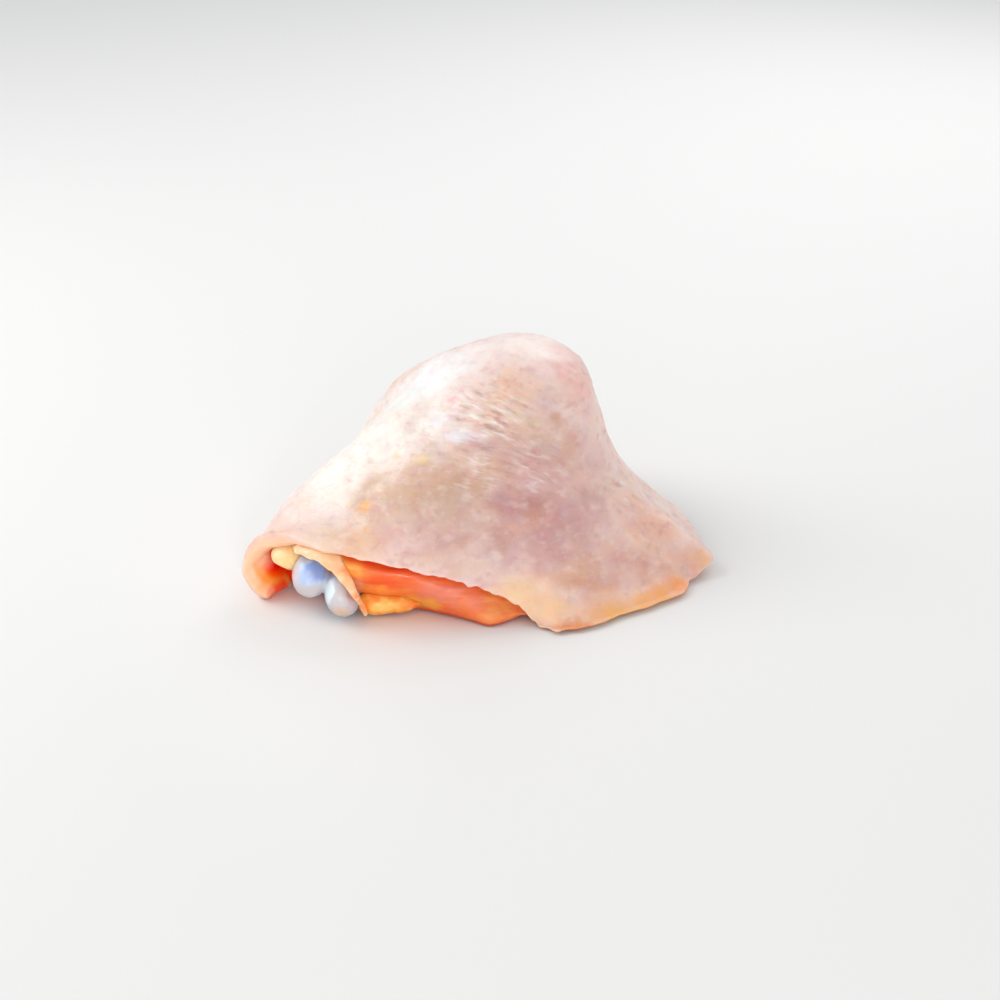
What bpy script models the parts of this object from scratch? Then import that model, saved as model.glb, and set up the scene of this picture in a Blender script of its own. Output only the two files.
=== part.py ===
"""A raw chicken thigh on the bone with its skin on, resting skin side up.

The drumstick has been cut away at the knee, so the front left corner shows the round
end of the thigh bone, the cut muscle beside it and some yellow fat. The skin drapes
over the muscle, curls round beside the knee and spreads flat on the board at the right.
Lengths in the tables are millimetres: X to the right, Y away from the cut side, Z up.
"""

from math import atan2, hypot, radians, sin

import bmesh
import bpy
import numpy as np
from mathutils import Matrix, Vector

# Driving dimensions
MM = 0.001
CLEARANCE = 0.4
WELD = 1e-7
SHARP_ANGLE = radians(50)
SKIN_THICKNESS = 2.2
CURL_THICKNESS = 3.0
CURL_FIRST_HEADING = 196.0
CURL_LAST_HEADING = 222.0
COLUMNS_PER_STATION = 3
NORMAL_PASSES = 5
SKIN_ROWS = 15
SKIN_ROW_SPREAD = 0.9

# The highest point of the skin
CROWN = np.array([5.5, 58.0, 53.5])

# Where the top rounds over into the sides: heading round the crown, reach from it, height
SHOULDER = [
    (0, 15.3, 48.2),
    (45, 16.2, 48.7),
    (90, 20.0, 47.5),
    (135, 25.0, 45.5),
    (165, 24.5, 46.5),
    (190, 22.0, 46.8),
    (209, 20.0, 47.6),
    (235, 19.5, 47.8),
    (270, 18.5, 47.0),
    (315, 15.6, 47.0),
]

# Where the sides start to run out towards the hem: heading, reach, height
FLANK = [
    (0, 26.5, 22.0),
    (25, 26.5, 22.0),
    (50, 31.0, 24.0),
    (90, 36.0, 24.0),
    (115, 38.0, 26.0),
    (135, 41.5, 28.0),
    (150, 42.5, 29.0),
    (165, 42.0, 28.0),
    (178, 44.0, 25.3),
    (190, 51.5, 22.0),
    (200, 65.0, 18.0),
    (209, 71.0, 17.0),
    (217, 63.0, 21.0),
    (226, 53.5, 27.0),
    (240, 44.0, 30.0),
    (257, 37.0, 30.5),
    (275, 34.5, 29.0),
    (298, 34.0, 23.5),
    (320, 32.0, 20.0),
    (340, 29.0, 20.0),
]

# The edge of the skin, anticlockwise from above: place, then the heading it hangs from
RIM = [
    ("front hem", (15.5, -0.4, 0.0), 279),
    ("front right", (28.0, 5.8, 0.0), 294),
    ("right front", (45.6, 18.7, 0.0), 315),
    ("right toe", (49.2, 26.6, 1.0), 326),
    ("tip", (54.5, 34.0, 4.5), 334),
    ("right", (52.0, 46.0, 3.4), 346),
    ("right back", (49.7, 59.0, 3.5), 362),
    ("back corner", (42.7, 72.5, 3.0), 382),
    ("back right", (28.0, 86.0, 1.0), 408),
    ("back", (4.0, 95.0, 0.0), 452),
    ("back left", (-20.0, 91.0, 0.0), 487),
    ("left back", (-41.0, 76.0, 0.0), 519),
    ("left", (-56.0, 55.0, 0.0), 543),
    ("left hem", (-62.0, 37.0, 0.0), 557),
    ("curl foot", (-60.5, 19.5, 0.6), 565),
    ("curl side", (-64.5, 21.2, 7.8), 567.5),
    ("curl shoulder", (-61.0, 20.6, 15.8), 571),
    ("curl top", (-53.3, 15.0, 19.6), 577),
    ("brow", (-41.5, 7.0, 19.3), 586),
    ("cut left", (-25.0, 4.5, 16.0), 600),
    ("cut middle", (-9.8, 5.0, 11.7), 614),
    ("cut right", (3.0, 5.2, 6.0), 625),
    ("cut end", (10.0, 2.2, 0.9), 632.5),
]

# How far down the skin the muscle follows it: heading, share of the way to the edge
MEAT_SHARE = [
    (0, 0.66),
    (20, 0.70),
    (45, 0.82),
    (90, 0.93),
    (135, 0.94),
    (165, 0.94),
    (188, 0.90),
    (200, 0.84),
    (209, 0.82),
    (217, 0.86),
    (226, 0.96),
    (245, 0.985),
    (268, 0.985),
    (280, 0.93),
    (300, 0.84),
    (320, 0.72),
    (340, 0.66),
]

# The lower edge of the muscle: heading, reach, height
MEAT_FOOT = [
    (0, 31.0, 1.0),
    (19, 31.0, 1.0),
    (52, 31.0, 0.8),
    (92, 33.0, 0.6),
    (132, 38.5, 0.6),
    (162, 46.0, 0.6),
    (182, 53.0, 0.8),
    (194, 59.0, 1.2),
    (201, 67.0, 1.6),
    (207, 71.6, 1.4),
    (212, 71.0, 1.0),
    (218, 69.5, 1.0),
    (224, 65.5, 1.1),
    (229, 62.0, 1.2),
    (234.5, 58.0, 0.9),
    (240, 53.5, 0.8),
    (247, 52.5, 0.6),
    (256, 53.5, 0.5),
    (262, 55.2, 0.5),
    (267, 51.8, 0.6),
    (272, 48.0, 0.8),
    (285, 48.0, 0.8),
    (299, 45.5, 0.8),
    (316, 40.0, 0.8),
    (335, 34.0, 0.9),
]
MEAT_CENTRE = np.array([0.0, 46.0, 0.0])
MEAT_ROWS = 11
MEAT_SIDE_ROWS = 4
MEAT_TOP_GAP = 0.6

# How far the muscle bulges where it is bare, and on the sides that the skin covers
MEAT_CUT_BULGE = 2.2
MEAT_SIDE_BULGE = 0.6
MEAT_FULL_BULGE_HEIGHT = 12.0
BARE_FROM_SHARE = 0.95
BARE_IN_FULL_SHARE = 0.98
BULGE_UP = 0.3
BULGE_DOWN = 0.35

# The underside: how far each row lies towards the middle, and the hollows in each
UNDERSIDE_ROWS = [(0.2, 0.4), (0.4, 0.8), (0.6, 1.0), (0.8, 0.0)]
UNDERSIDE_FALL = 0.5
HOLLOW_DEPTH = 1.6
HOLLOW_ACROSS = 9.0
HOLLOW_ALONG = 11.0
HOLLOW_FLOOR = 0.25

# The thigh bone: centre line with the half widths there, from the knee to the hip
SHAFT = [
    ((-44.6, 13.2, 8.8), 3.3),
    ((-41.6, 19.0, 8.8), 4.6),
    ((-37.0, 26.0, 9.4), 4.0),
    ((-26.0, 36.0, 10.4), 3.3),
    ((-12.0, 48.0, 10.6), 3.2),
    ((2.0, 60.0, 9.4), 3.7),
    ((12.4, 69.4, 6.8), 4.0),
]
KNEE_OUTER = {"centre": (-46.8, 13.4, 9.6), "radii": (4.8, 6.7, 5.6), "lean": 6}
KNEE_INNER = {"centre": (-38.8, 9.8, 6.2), "radii": (4.7, 6.5, 5.8), "lean": -6}
HIP_HEAD = {"centre": (13.5, 70.5, 6.3), "radii": (6.2, 6.2, 5.9), "lean": 0}

# The shallow hollow in the underside where the end of the bone at the hip shows
HIP_HOLLOW = {"centre": (12.5, 70.0, -6.0), "radii": (12.5, 11.0, 9.6), "turn": 20}

# The pale band that wraps the knee joint: centre line with the half widths there
CAPSULE = [
    ((-47.2, 12.6, 15.8), 1.2),
    ((-43.0, 9.8, 15.0), 2.0),
    ((-40.0, 6.8, 13.4), 1.9),
    ((-37.8, 4.9, 10.6), 1.2),
    ((-36.0, 4.3, 7.6), 0.9),
    ((-34.2, 4.9, 4.4), 0.8),
    ((-33.2, 6.2, 1.6), 0.7),
]

# Fat: centre, half lengths and turn about Z of each soft lump
KNEE_FAT = {"centre": (-53.4, 18.8, 11.6), "radii": (2.6, 5.2, 3.2), "turn": -18}
FRONT_FAT = {"centre": (-26.0, 10.6, 3.4), "radii": (8.8, 3.6, 3.0), "turn": 5}
FAT_SWELL = 0.16

# Each piece: its colour and how shiny it is
FINISH = {
    "skin": ((0.80, 0.62, 0.52), 0.38),
    "meat": ((0.72, 0.26, 0.19), 0.33),
    "femur": ((0.70, 0.76, 0.85), 0.22),
    "joint_capsule": ((0.85, 0.72, 0.58), 0.35),
    "knee_fat": ((0.88, 0.68, 0.36), 0.40),
    "front_fat": ((0.87, 0.60, 0.24), 0.36),
}

for old in list(bpy.data.objects):
    bpy.data.objects.remove(old, do_unlink=True)


def curve_weights(u):
    """Shares of four neighbouring values at u between the middle two."""
    return (
        0.5 * (-u + 2 * u**2 - u**3),
        0.5 * (2 - 5 * u**2 + 3 * u**3),
        0.5 * (u + 4 * u**2 - 3 * u**3),
        0.5 * (-(u**2) + u**3),
    )


def closed_curve(values, per_station):
    """Smooth values all the way round."""
    values = np.asarray(values, float)
    count = len(values)
    found = []
    for i in range(count):
        near = [values[k % count] for k in range(i - 1, i + 3)]
        for step in range(per_station):
            weights = curve_weights(step / per_station)
            found.append(sum(w * v for w, v in zip(weights, near)))
    return np.array(found)


def hermite(u, width, value_0, value_1, slope_0, slope_1):
    """The smooth curve between two values with these slopes."""
    return (
        (2 * u**3 - 3 * u**2 + 1) * value_0
        + (u**3 - 2 * u**2 + u) * width * slope_0
        + (3 * u**2 - 2 * u**3) * value_1
        + (u**3 - u**2) * width * slope_1
    )


def round_the_crown(table, headings):
    """Each column of the table read off at these headings."""
    table = np.asarray(table, float)
    known = np.concatenate([table[-2:, 0] - 360, table[:, 0], table[:3, 0] + 360])
    value = np.concatenate([table[-2:, 1:], table[:, 1:], table[:3, 1:]])
    wanted = np.mod(headings, 360.0)
    i = np.searchsorted(known, wanted, side="right") - 1
    width = (known[i + 1] - known[i])[:, None]

    def slope(k):
        before = (known[k] - known[k - 1])[:, None]
        after = (known[k + 1] - known[k])[:, None]
        rise_before = (value[k] - value[k - 1]) / before
        rise_after = (value[k + 1] - value[k]) / after
        return (rise_before * after + rise_after * before) / (before + after)

    u = ((wanted - known[i])[:, None]) / width
    return hermite(u, width, value[i], value[i + 1], slope(i), slope(i + 1))


def ring_of(table, headings):
    """The points of a ring given by heading, reach and height."""
    reach, height = round_the_crown(table, headings).T
    turn = np.radians(headings)
    across = CROWN[0] + reach * np.cos(turn)
    along = CROWN[1] + reach * np.sin(turn)
    return np.stack([across, along, height], axis=1)


def column_headings():
    """The heading each column of points leaves the crown at, evenly between stations."""
    at_station = [place[2] for place in RIM]
    at_station.append(at_station[0] + 360.0)
    columns = np.arange(len(RIM) * COLUMNS_PER_STATION) / COLUMNS_PER_STATION
    return np.interp(columns, np.arange(len(at_station)), at_station)


HEADINGS = column_headings()


def skin_at(shares):
    """Points on the outer skin, rows by columns: 0 is the crown and 1 is the edge."""
    turn = np.radians(HEADINGS)
    level = np.stack([np.cos(turn), np.sin(turn), np.zeros_like(turn)], axis=1)
    rim = closed_curve([place[1] for place in RIM], COLUMNS_PER_STATION)
    stops = [
        np.repeat(CROWN[None], len(HEADINGS), axis=0),
        ring_of(SHOULDER, HEADINGS),
        ring_of(FLANK, HEADINGS),
        rim,
    ]
    spans = [np.linalg.norm(b - a, axis=1)[:, None] for a, b in zip(stops, stops[1:])]
    rise = [(b - a) / span for a, b, span in zip(stops, stops[1:], spans)]
    at_shoulder = (stops[2] - stops[0]) / (spans[0] + spans[1])
    at_flank = (stops[3] - stops[1]) / (spans[1] + spans[2])
    at_rim = 1.5 * rise[2] - 0.5 * at_flank
    slopes = [level, at_shoulder, at_flank, at_rim]
    whole = sum(spans)
    rows = []
    for share in shares:
        way = np.broadcast_to(share, len(HEADINGS))[:, None] * whole
        row = np.zeros_like(rim)
        passed = np.zeros_like(whole)
        for k, span in enumerate(spans):
            u = (way - passed) / span
            here = (u >= 0) & ((u <= 1) | (k == 2))
            bend = hermite(u, span, stops[k], stops[k + 1], slopes[k], slopes[k + 1])
            row = np.where(here, bend, row)
            passed = passed + span
        rows.append(row)
    return np.array(rows)


def outward(grid):
    """Unit normals of a grid whose first row is one point at the top, evened out a little."""
    down = np.gradient(grid, axis=0)
    along = np.roll(grid, -1, axis=1) - np.roll(grid, 1, axis=1)
    normal = np.cross(down, along)
    length = np.linalg.norm(normal, axis=2, keepdims=True)
    normal = normal / np.maximum(length, 1e-9)
    for _ in range(NORMAL_PASSES):
        beside = np.roll(normal, 1, axis=1) + np.roll(normal, -1, axis=1)
        normal = 0.5 * normal + 0.25 * beside
    normal[0] = (0.0, 0.0, 1.0)
    return normal / np.linalg.norm(normal, axis=2, keepdims=True)


def skin_thickness():
    """The skin is thicker where it curls beside the knee."""
    heading = np.mod(HEADINGS, 360.0)
    middle = 0.5 * (CURL_FIRST_HEADING + CURL_LAST_HEADING)
    half = 0.5 * (CURL_LAST_HEADING - CURL_FIRST_HEADING)
    near = np.clip(1.5 - np.abs(heading - middle) / half, 0, 1)
    return SKIN_THICKNESS + (CURL_THICKNESS - SKIN_THICKNESS) * near


def mesh_object(name, mesh):
    """An object in the scene for this mesh."""
    obj = bpy.data.objects.new(name, mesh)
    bpy.context.scene.collection.objects.link(obj)
    return obj


def add_object(name, points, faces):
    """A named solid from points in millimetres, with its own material."""
    mesh = bpy.data.meshes.new(name)
    mesh.from_pydata([tuple(p * MM) for p in np.asarray(points)], [], faces)
    return mesh_object(name, mesh)


def ring_faces(first, second, count):
    """Triangles between two rings of this many points, facing out when first is above."""
    found = []
    for i in range(count):
        k = (i + 1) % count
        found.append((first + i, second + i, second + k))
        found.append((first + i, second + k, first + k))
    return found


def lathe_like(name, grid, top, bottom):
    """A closed solid from rings of points, with one point above and one below them."""
    rows, count = grid.shape[:2]
    points = [*grid.reshape(-1, 3), np.array(top), np.array(bottom)]
    above = rows * count
    below = above + 1
    faces = [(above, i, (i + 1) % count) for i in range(count)]
    for row in range(rows - 1):
        faces += ring_faces(row * count, (row + 1) * count, count)
    last = (rows - 1) * count
    faces += [(below, last + (i + 1) % count, last + i) for i in range(count)]
    return add_object(name, points, faces)


def make_skin(name, extra=0.0):
    """One sheet of even thickness: the outer side, the cut edge, then the inner side."""
    shares = (np.arange(SKIN_ROWS + 1) / SKIN_ROWS) ** SKIN_ROW_SPREAD
    middle = skin_at(shares)
    normal = outward(middle)
    outer = middle + normal * extra
    inner = middle - normal * (skin_thickness() + extra)[None, :, None]
    if extra == 0.0:
        outer[:, :, 2] = np.maximum(outer[:, :, 2], 0.0)
        inner[:, :, 2] = np.maximum(inner[:, :, 2], 0.0)
    rings = np.concatenate([outer[1:], inner[:0:-1]])
    return lathe_like(name, rings, outer[0, 0], inner[0, 0])


def meat_side(top, share):
    """Rows from the last row under the skin round the side to the lower edge."""
    edge = top[-1]
    foot = ring_of(MEAT_FOOT, HEADINGS)
    turn = np.radians(HEADINGS)
    away = np.stack([np.cos(turn), np.sin(turn), np.zeros_like(turn)], axis=1)
    bare = (share - BARE_FROM_SHARE) / (BARE_IN_FULL_SHARE - BARE_FROM_SHARE)
    tall = edge[:, 2] / MEAT_FULL_BULGE_HEIGHT
    bare = (np.clip(bare, 0, 1) * np.clip(tall, 0, 1))[:, None]
    bulge = MEAT_SIDE_BULGE + (MEAT_CUT_BULGE - MEAT_SIDE_BULGE) * bare
    drop = np.linalg.norm(edge - foot, axis=1)[:, None]
    slope = edge - top[-2]
    slope = slope / np.linalg.norm(slope, axis=1)[:, None]
    upper = edge + BULGE_UP * drop * slope + bulge * away * bare
    lower = foot + bulge * away + np.array([0.0, 0.0, BULGE_DOWN]) * drop
    rows = []
    for step in range(1, MEAT_SIDE_ROWS + 1):
        u = step / MEAT_SIDE_ROWS
        start = (1 - u) ** 3 * edge + 3 * u * (1 - u) ** 2 * upper
        rows.append(start + 3 * u**2 * (1 - u) * lower + u**3 * foot)
    return rows


def meat_underside(foot):
    """Rows from the lower edge in to the flat middle, with a few shallow hollows."""
    rows = []
    for u, share in UNDERSIDE_ROWS:
        row = foot + (MEAT_CENTRE - foot) * u
        row[:, 2] = foot[:, 2] * max(1 - u / UNDERSIDE_FALL, 0)
        wave = np.sin(row[:, 0] / HOLLOW_ACROSS + 0.6)
        wave *= np.sin(row[:, 1] / HOLLOW_ALONG - 0.4)
        row[:, 2] += HOLLOW_DEPTH * share * np.maximum(wave - HOLLOW_FLOOR, 0)
        rows.append(row)
    return rows


def make_meat(name):
    """The muscle fills the skin, shows at the cut side and lies on its underside."""
    share = round_the_crown(MEAT_SHARE, HEADINGS)[:, 0]
    top = skin_at([row / MEAT_ROWS * share for row in range(MEAT_ROWS + 1)])
    depth = skin_thickness() + MEAT_TOP_GAP
    top = top - outward(top) * depth[None, :, None]
    side = meat_side(top, share)
    grid = np.array([*top[1:], *side, *meat_underside(side[-1])])
    grid[:, :, 2] = np.maximum(grid[:, :, 2], 0.0)
    crown = CROWN - np.array([0.0, 0.0, SKIN_THICKNESS + MEAT_TOP_GAP])
    return lathe_like(name, grid, crown, MEAT_CENTRE)


def bar(name, line, extra=0.0):
    """A round bar of changing width along a smooth line through these points."""
    path = bpy.data.curves.new(name + "_path", "CURVE")
    path.dimensions = "3D"
    path.resolution_u = 3
    path.bevel_depth = MM
    path.bevel_resolution = 3
    path.use_fill_caps = True
    spline = path.splines.new("BEZIER")
    spline.bezier_points.add(len(line) - 1)
    for point, (place, half_width) in zip(spline.bezier_points, line):
        point.co = [value * MM for value in place]
        point.radius = half_width + extra
        point.handle_left_type = "AUTO"
        point.handle_right_type = "AUTO"
    guide = bpy.data.objects.new(name + "_path", path)
    bpy.context.scene.collection.objects.link(guide)
    graph = bpy.context.evaluated_depsgraph_get()
    mesh = bpy.data.meshes.new_from_object(guide.evaluated_get(graph))
    bpy.data.objects.remove(guide, do_unlink=True)
    work = bmesh.new()
    work.from_mesh(mesh)
    bmesh.ops.remove_doubles(work, verts=work.verts, dist=WELD)
    bmesh.ops.recalc_face_normals(work, faces=work.faces)
    bmesh.ops.triangulate(work, faces=work.faces)
    work.to_mesh(mesh)
    work.free()
    return mesh_object(name, mesh)


def lump(name, centre, radii, lean=0.0, turn=0.0, extra=0.0, swell=0.0):
    """A rounded lump; lean tips it about the Y axis, turn swings it about Z."""
    work = bmesh.new()
    bmesh.ops.create_uvsphere(work, u_segments=16, v_segments=10, radius=1.0)
    for vert in work.verts:
        angle = atan2(vert.co.y, vert.co.x)
        level = hypot(vert.co.x, vert.co.y)
        bump = 1 + swell * level * sin(3 * angle + 4 * vert.co.z)
        vert.co = Vector([c * (r * bump + extra) for c, r in zip(vert.co, radii)])
    move = Matrix.Translation(Vector(centre))
    move @= Matrix.Rotation(radians(turn), 4, "Z") @ Matrix.Rotation(radians(lean), 4, "Y")
    bmesh.ops.transform(work, matrix=Matrix.Scale(MM, 4) @ move, verts=work.verts)
    bmesh.ops.triangulate(work, faces=work.faces)
    mesh = bpy.data.meshes.new(name)
    work.to_mesh(mesh)
    work.free()
    return mesh_object(name, mesh)


def combine(target, other, operation):
    """Apply one exact Boolean and put the result in the target's mesh."""
    modifier = target.modifiers.new(operation.lower(), "BOOLEAN")
    modifier.operation = operation
    modifier.solver = "EXACT"
    modifier.object = other
    graph = bpy.context.evaluated_depsgraph_get()
    result = bpy.data.meshes.new_from_object(target.evaluated_get(graph))
    target.modifiers.remove(modifier)
    old = target.data
    target.data = result
    bpy.data.meshes.remove(old)
    result.name = target.name
    bpy.data.objects.remove(other, do_unlink=True)


def make_femur(name, extra=0.0):
    """The knuckle's two rounded ends, the shaft and the hip head joined into one bone."""
    bone = bar(name, SHAFT, extra)
    for label, knob in (("outer", KNEE_OUTER), ("inner", KNEE_INNER), ("hip", HIP_HEAD)):
        combine(bone, lump(name + "_" + label, **knob, extra=extra), "UNION")
    return bone


def make_capsule(name, extra=0.0):
    """The pale band across the joint."""
    return bar(name, CAPSULE, extra)


def make_knee_fat(name, extra=0.0):
    """The lobe of fat under the curl."""
    return lump(name, **KNEE_FAT, extra=extra, swell=FAT_SWELL)


def make_front_fat(name, extra=0.0):
    """The pad of fat below the muscle, beside the knuckle."""
    return lump(name, **FRONT_FAT, extra=extra, swell=FAT_SWELL)


def make_pieces():
    """Skin and bone come first; each piece after them is cut back to leave a thin gap."""
    makers = {
        "skin": make_skin,
        "femur": make_femur,
        "joint_capsule": make_capsule,
        "knee_fat": make_knee_fat,
        "front_fat": make_front_fat,
        "meat": make_meat,
    }
    made = {"skin": make_skin("skin"), "femur": make_femur("femur")}
    for name in ("joint_capsule", "knee_fat", "front_fat", "meat"):
        piece = makers[name](name)
        for other in made:
            combine(piece, makers[other](other + "_space", CLEARANCE), "DIFFERENCE")
        made[name] = piece
    combine(made["meat"], lump("hip_hollow", **HIP_HOLLOW), "DIFFERENCE")
    return list(made.values())


def finish(obj):
    """Give a piece its plain material, and shade it smooth except at its sharp edges."""
    colour, roughness = FINISH[obj.name]
    material = bpy.data.materials.new(obj.name)
    material.use_nodes = True
    shader = material.node_tree.nodes["Principled BSDF"]
    shader.inputs["Base Color"].default_value = (*colour, 1.0)
    shader.inputs["Roughness"].default_value = roughness
    obj.data.materials.clear()
    obj.data.materials.append(material)
    obj.data.shade_smooth()
    obj.data.set_sharp_from_angle(angle=SHARP_ANGLE)


def centre_on_origin(pieces):
    """Put the origin on the board under the middle of the whole thigh."""
    corners = np.array([vert.co for piece in pieces for vert in piece.data.vertices])
    middle = (corners.min(axis=0) + corners.max(axis=0)) / 2
    move = Matrix.Translation((-middle[0], -middle[1], -corners[:, 2].min()))
    for piece in pieces:
        piece.data.transform(move)


thigh = make_pieces()
centre_on_origin(thigh)
for piece in thigh:
    finish(piece)
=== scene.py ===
# %% [markdown]
# # A raw chicken thigh, skin side up
#
# The thigh lies on its cut side, and its skin hangs over it like a cloth over a ball. At the front left
# corner the cut shows what is inside: the two blue-white knobs of the knee, a pale band across them,
# soft yellow fat and orange-red muscle. We build each of these as its own piece, in the place that the
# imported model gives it, and most of the work goes into two things that make raw meat look real: light
# that sinks in and comes out again, and colour that is never the same twice.

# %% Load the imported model
from math import cos, pi, radians, sin

import bmesh
import bpy
import numpy as np
from mathutils import Matrix, Vector, noise


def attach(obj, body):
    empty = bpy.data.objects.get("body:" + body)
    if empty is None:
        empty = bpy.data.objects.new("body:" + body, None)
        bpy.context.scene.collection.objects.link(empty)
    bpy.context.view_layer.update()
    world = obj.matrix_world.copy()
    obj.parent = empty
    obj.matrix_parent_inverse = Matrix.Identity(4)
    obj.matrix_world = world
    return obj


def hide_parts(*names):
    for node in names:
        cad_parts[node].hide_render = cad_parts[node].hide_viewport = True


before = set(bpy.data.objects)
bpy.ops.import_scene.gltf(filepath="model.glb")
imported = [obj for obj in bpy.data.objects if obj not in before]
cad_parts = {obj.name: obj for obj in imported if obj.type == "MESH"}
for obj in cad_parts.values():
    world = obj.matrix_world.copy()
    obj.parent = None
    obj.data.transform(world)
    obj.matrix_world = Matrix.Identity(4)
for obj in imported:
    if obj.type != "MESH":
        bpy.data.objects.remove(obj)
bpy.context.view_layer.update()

print("nodes in the packed model:", sorted(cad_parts))

# %% [markdown]
# ## One ruler for every piece
#
# Our own tables are in millimetres: X to the right along the cut, Y away from it, Z up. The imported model
# is in metres round its own middle. The crown, the highest point of the skin, is a point that both know,
# so one subtraction tells how far to shift every point that we make.

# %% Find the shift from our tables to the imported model
MM = 0.001
CROWN = np.array([5.5, 58.0, 53.5])

packed_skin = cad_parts["skin"].data
packed_crown = max((vert.co for vert in packed_skin.vertices), key=lambda co: co.z)
SHIFT = np.array(packed_crown) / MM - CROWN
print("shift in mm:", SHIFT.round(2))


def in_frame(place):
    """A place in our millimetres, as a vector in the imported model's metres."""
    return Vector((np.array(place, float) + SHIFT) * MM)


# %% [markdown]
# ## The camera
#
# A long lens from well back keeps the near corner from swelling. The view looks down by 25 degrees, which is
# low enough to see in under the edge of the skin and high enough to see how its front is modelled.

# %% Set up the camera
LOOK_AT = (0.0, 77.5, 0.0)
LOOK_DOWN = radians(25)
DISTANCE = 648.0
LENS_MM, SENSOR_MM = 85.0, 36.0


def add_object(name, data):
    """A new object in the scene."""
    made = bpy.data.objects.new(name, data)
    bpy.context.scene.collection.objects.link(made)
    return made


camera_data = bpy.data.cameras.new("camera")
camera_data.lens, camera_data.sensor_width = LENS_MM, SENSOR_MM
camera = add_object("camera", camera_data)
camera.location = in_frame(LOOK_AT) + DISTANCE * MM * Vector((0, -cos(LOOK_DOWN), sin(LOOK_DOWN)))
camera.rotation_euler = (pi / 2 - LOOK_DOWN, 0, 0)
bpy.context.scene.camera = camera
print("camera at", [round(c, 3) for c in camera.location])

# %% [markdown]
# ## Floor and light
#
# Food is often lit from one side by something large and soft, such as a window, with the rest of the room
# white. The large lamp on the left makes the left side of the thigh almost white and leaves the right side
# pinker, which is what gives the skin its form. Two weaker lamps stand low in front, the second one to the
# right. The last one, high behind, brightens the crown and the far edge. A small spot shines in under the
# curl, where thin skin would glow with the light that comes through it.

# %% Make the floor and the lamps
FLOOR_REACH = 4.0
FLOOR_COLOUR, FLOOR_ROUGHNESS = (0.83, 0.825, 0.815, 1.0), 0.6
ROOM_COLOUR, ROOM_STRENGTH = (0.96, 0.98, 1.0, 1.0), 0.66
WARM = (1.0, 0.97, 0.94)
# Each lamp: name, place, aim, width, power, colour.
LAMPS = [
    ("window", (-500, 130, 440), (0, 45, 20), 420, 2.0, (1.0, 0.99, 0.97)),
    ("low_front", (60, -620, 90), (0, 30, 10), 420, 1.4, WARM),
    ("low_right", (430, -460, 90), (-20, 20, 6), 320, 0.45, WARM),
    ("behind", (230, 520, 380), (0, 50, 30), 420, 0.95, (1.0, 0.99, 0.98)),
]
CURL_SPOT = {"spot_size": radians(11), "spot_blend": 1.0, "shadow_soft_size": 30 * MM}

corners = [(x * FLOOR_REACH, y * FLOOR_REACH, 0) for x, y in ((-1, -1), (1, -1), (1, 1), (-1, 1))]
floor_mesh = bpy.data.meshes.new("floor")
floor_mesh.from_pydata(corners, [], [(0, 1, 2, 3)])
floor = add_object("floor", floor_mesh)
floor_paint = bpy.data.materials.new("floor_paint")
floor_paint.use_nodes = True
floor_shader = floor_paint.node_tree.nodes["Principled BSDF"]
floor_shader.inputs["Base Color"].default_value = FLOOR_COLOUR
floor_shader.inputs["Roughness"].default_value = FLOOR_ROUGHNESS
floor_mesh.materials.append(floor_paint)

room = bpy.data.worlds.new("room")
room.use_nodes = True
room.node_tree.nodes["Background"].inputs["Color"].default_value = ROOM_COLOUR
room.node_tree.nodes["Background"].inputs["Strength"].default_value = ROOM_STRENGTH
bpy.context.scene.world = room
bpy.context.scene.view_settings.view_transform = "Standard"


def aim_lamp(name, kind, place, aim, power, colour, settings):
    """A lamp at a place that faces the aim, both in our millimetres."""
    data = bpy.data.lights.new(name, kind)
    data.energy, data.color = power, colour
    for key, value in settings.items():
        setattr(data, key, value)
    lamp = add_object(name, data)
    lamp.location = in_frame(place)
    lamp.rotation_euler = (in_frame(aim) - in_frame(place)).to_track_quat("-Z", "Y").to_euler()


for name, place, aim, width, power, colour in LAMPS:
    aim_lamp(name, "AREA", place, aim, power, colour, {"size": width * MM})
aim_lamp("under_curl", "SPOT", (0, -300, 110), (-55, 16, 7), 1.5, (1.0, 1.0, 1.0), CURL_SPOT)
print("lamps:", [lamp.name for lamp in bpy.data.lights])

# %% [markdown]
# ## The shape of the skin, from a few stations
#
# A hanging skin is smooth, so it needs few numbers. We stand on the crown and look round: for some headings
# we write how far away and how high the skin is where it rounds over (the shoulder) and where it starts to
# run out (the flank). The edge is a closed line through named places. Everything between is read off
# smooth curves.

# %% The shoulder, the flank and the edge
# Each point of a ring: heading in degrees, how far out, how high.
SHOULDER = [
    (0, 15.3, 48.2), (45, 16.2, 48.7), (90, 20.0, 47.5), (135, 25.0, 45.5), (165, 24.5, 46.5),
    (190, 22.0, 46.8), (209, 20.0, 47.6), (235, 19.5, 47.8), (270, 18.5, 47.0), (315, 15.6, 47.0),
]
FLANK = [
    (0, 26.0, 21.6), (25, 25.9, 21.6), (50, 31.0, 24.0), (90, 36.0, 24.0), (115, 38.0, 26.0),
    (135, 41.5, 28.0), (150, 42.5, 29.0), (165, 42.0, 28.0), (178, 44.0, 25.3), (190, 51.5, 22.0),
    (200, 65.0, 18.0), (209, 71.0, 17.0), (217, 63.0, 21.0), (226, 53.5, 27.0), (240, 44.0, 30.0),
    (257, 37.0, 30.5), (275, 34.5, 29.0), (298, 34.0, 23.5), (320, 32.0, 20.0), (340, 29.0, 20.0),
]
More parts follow.
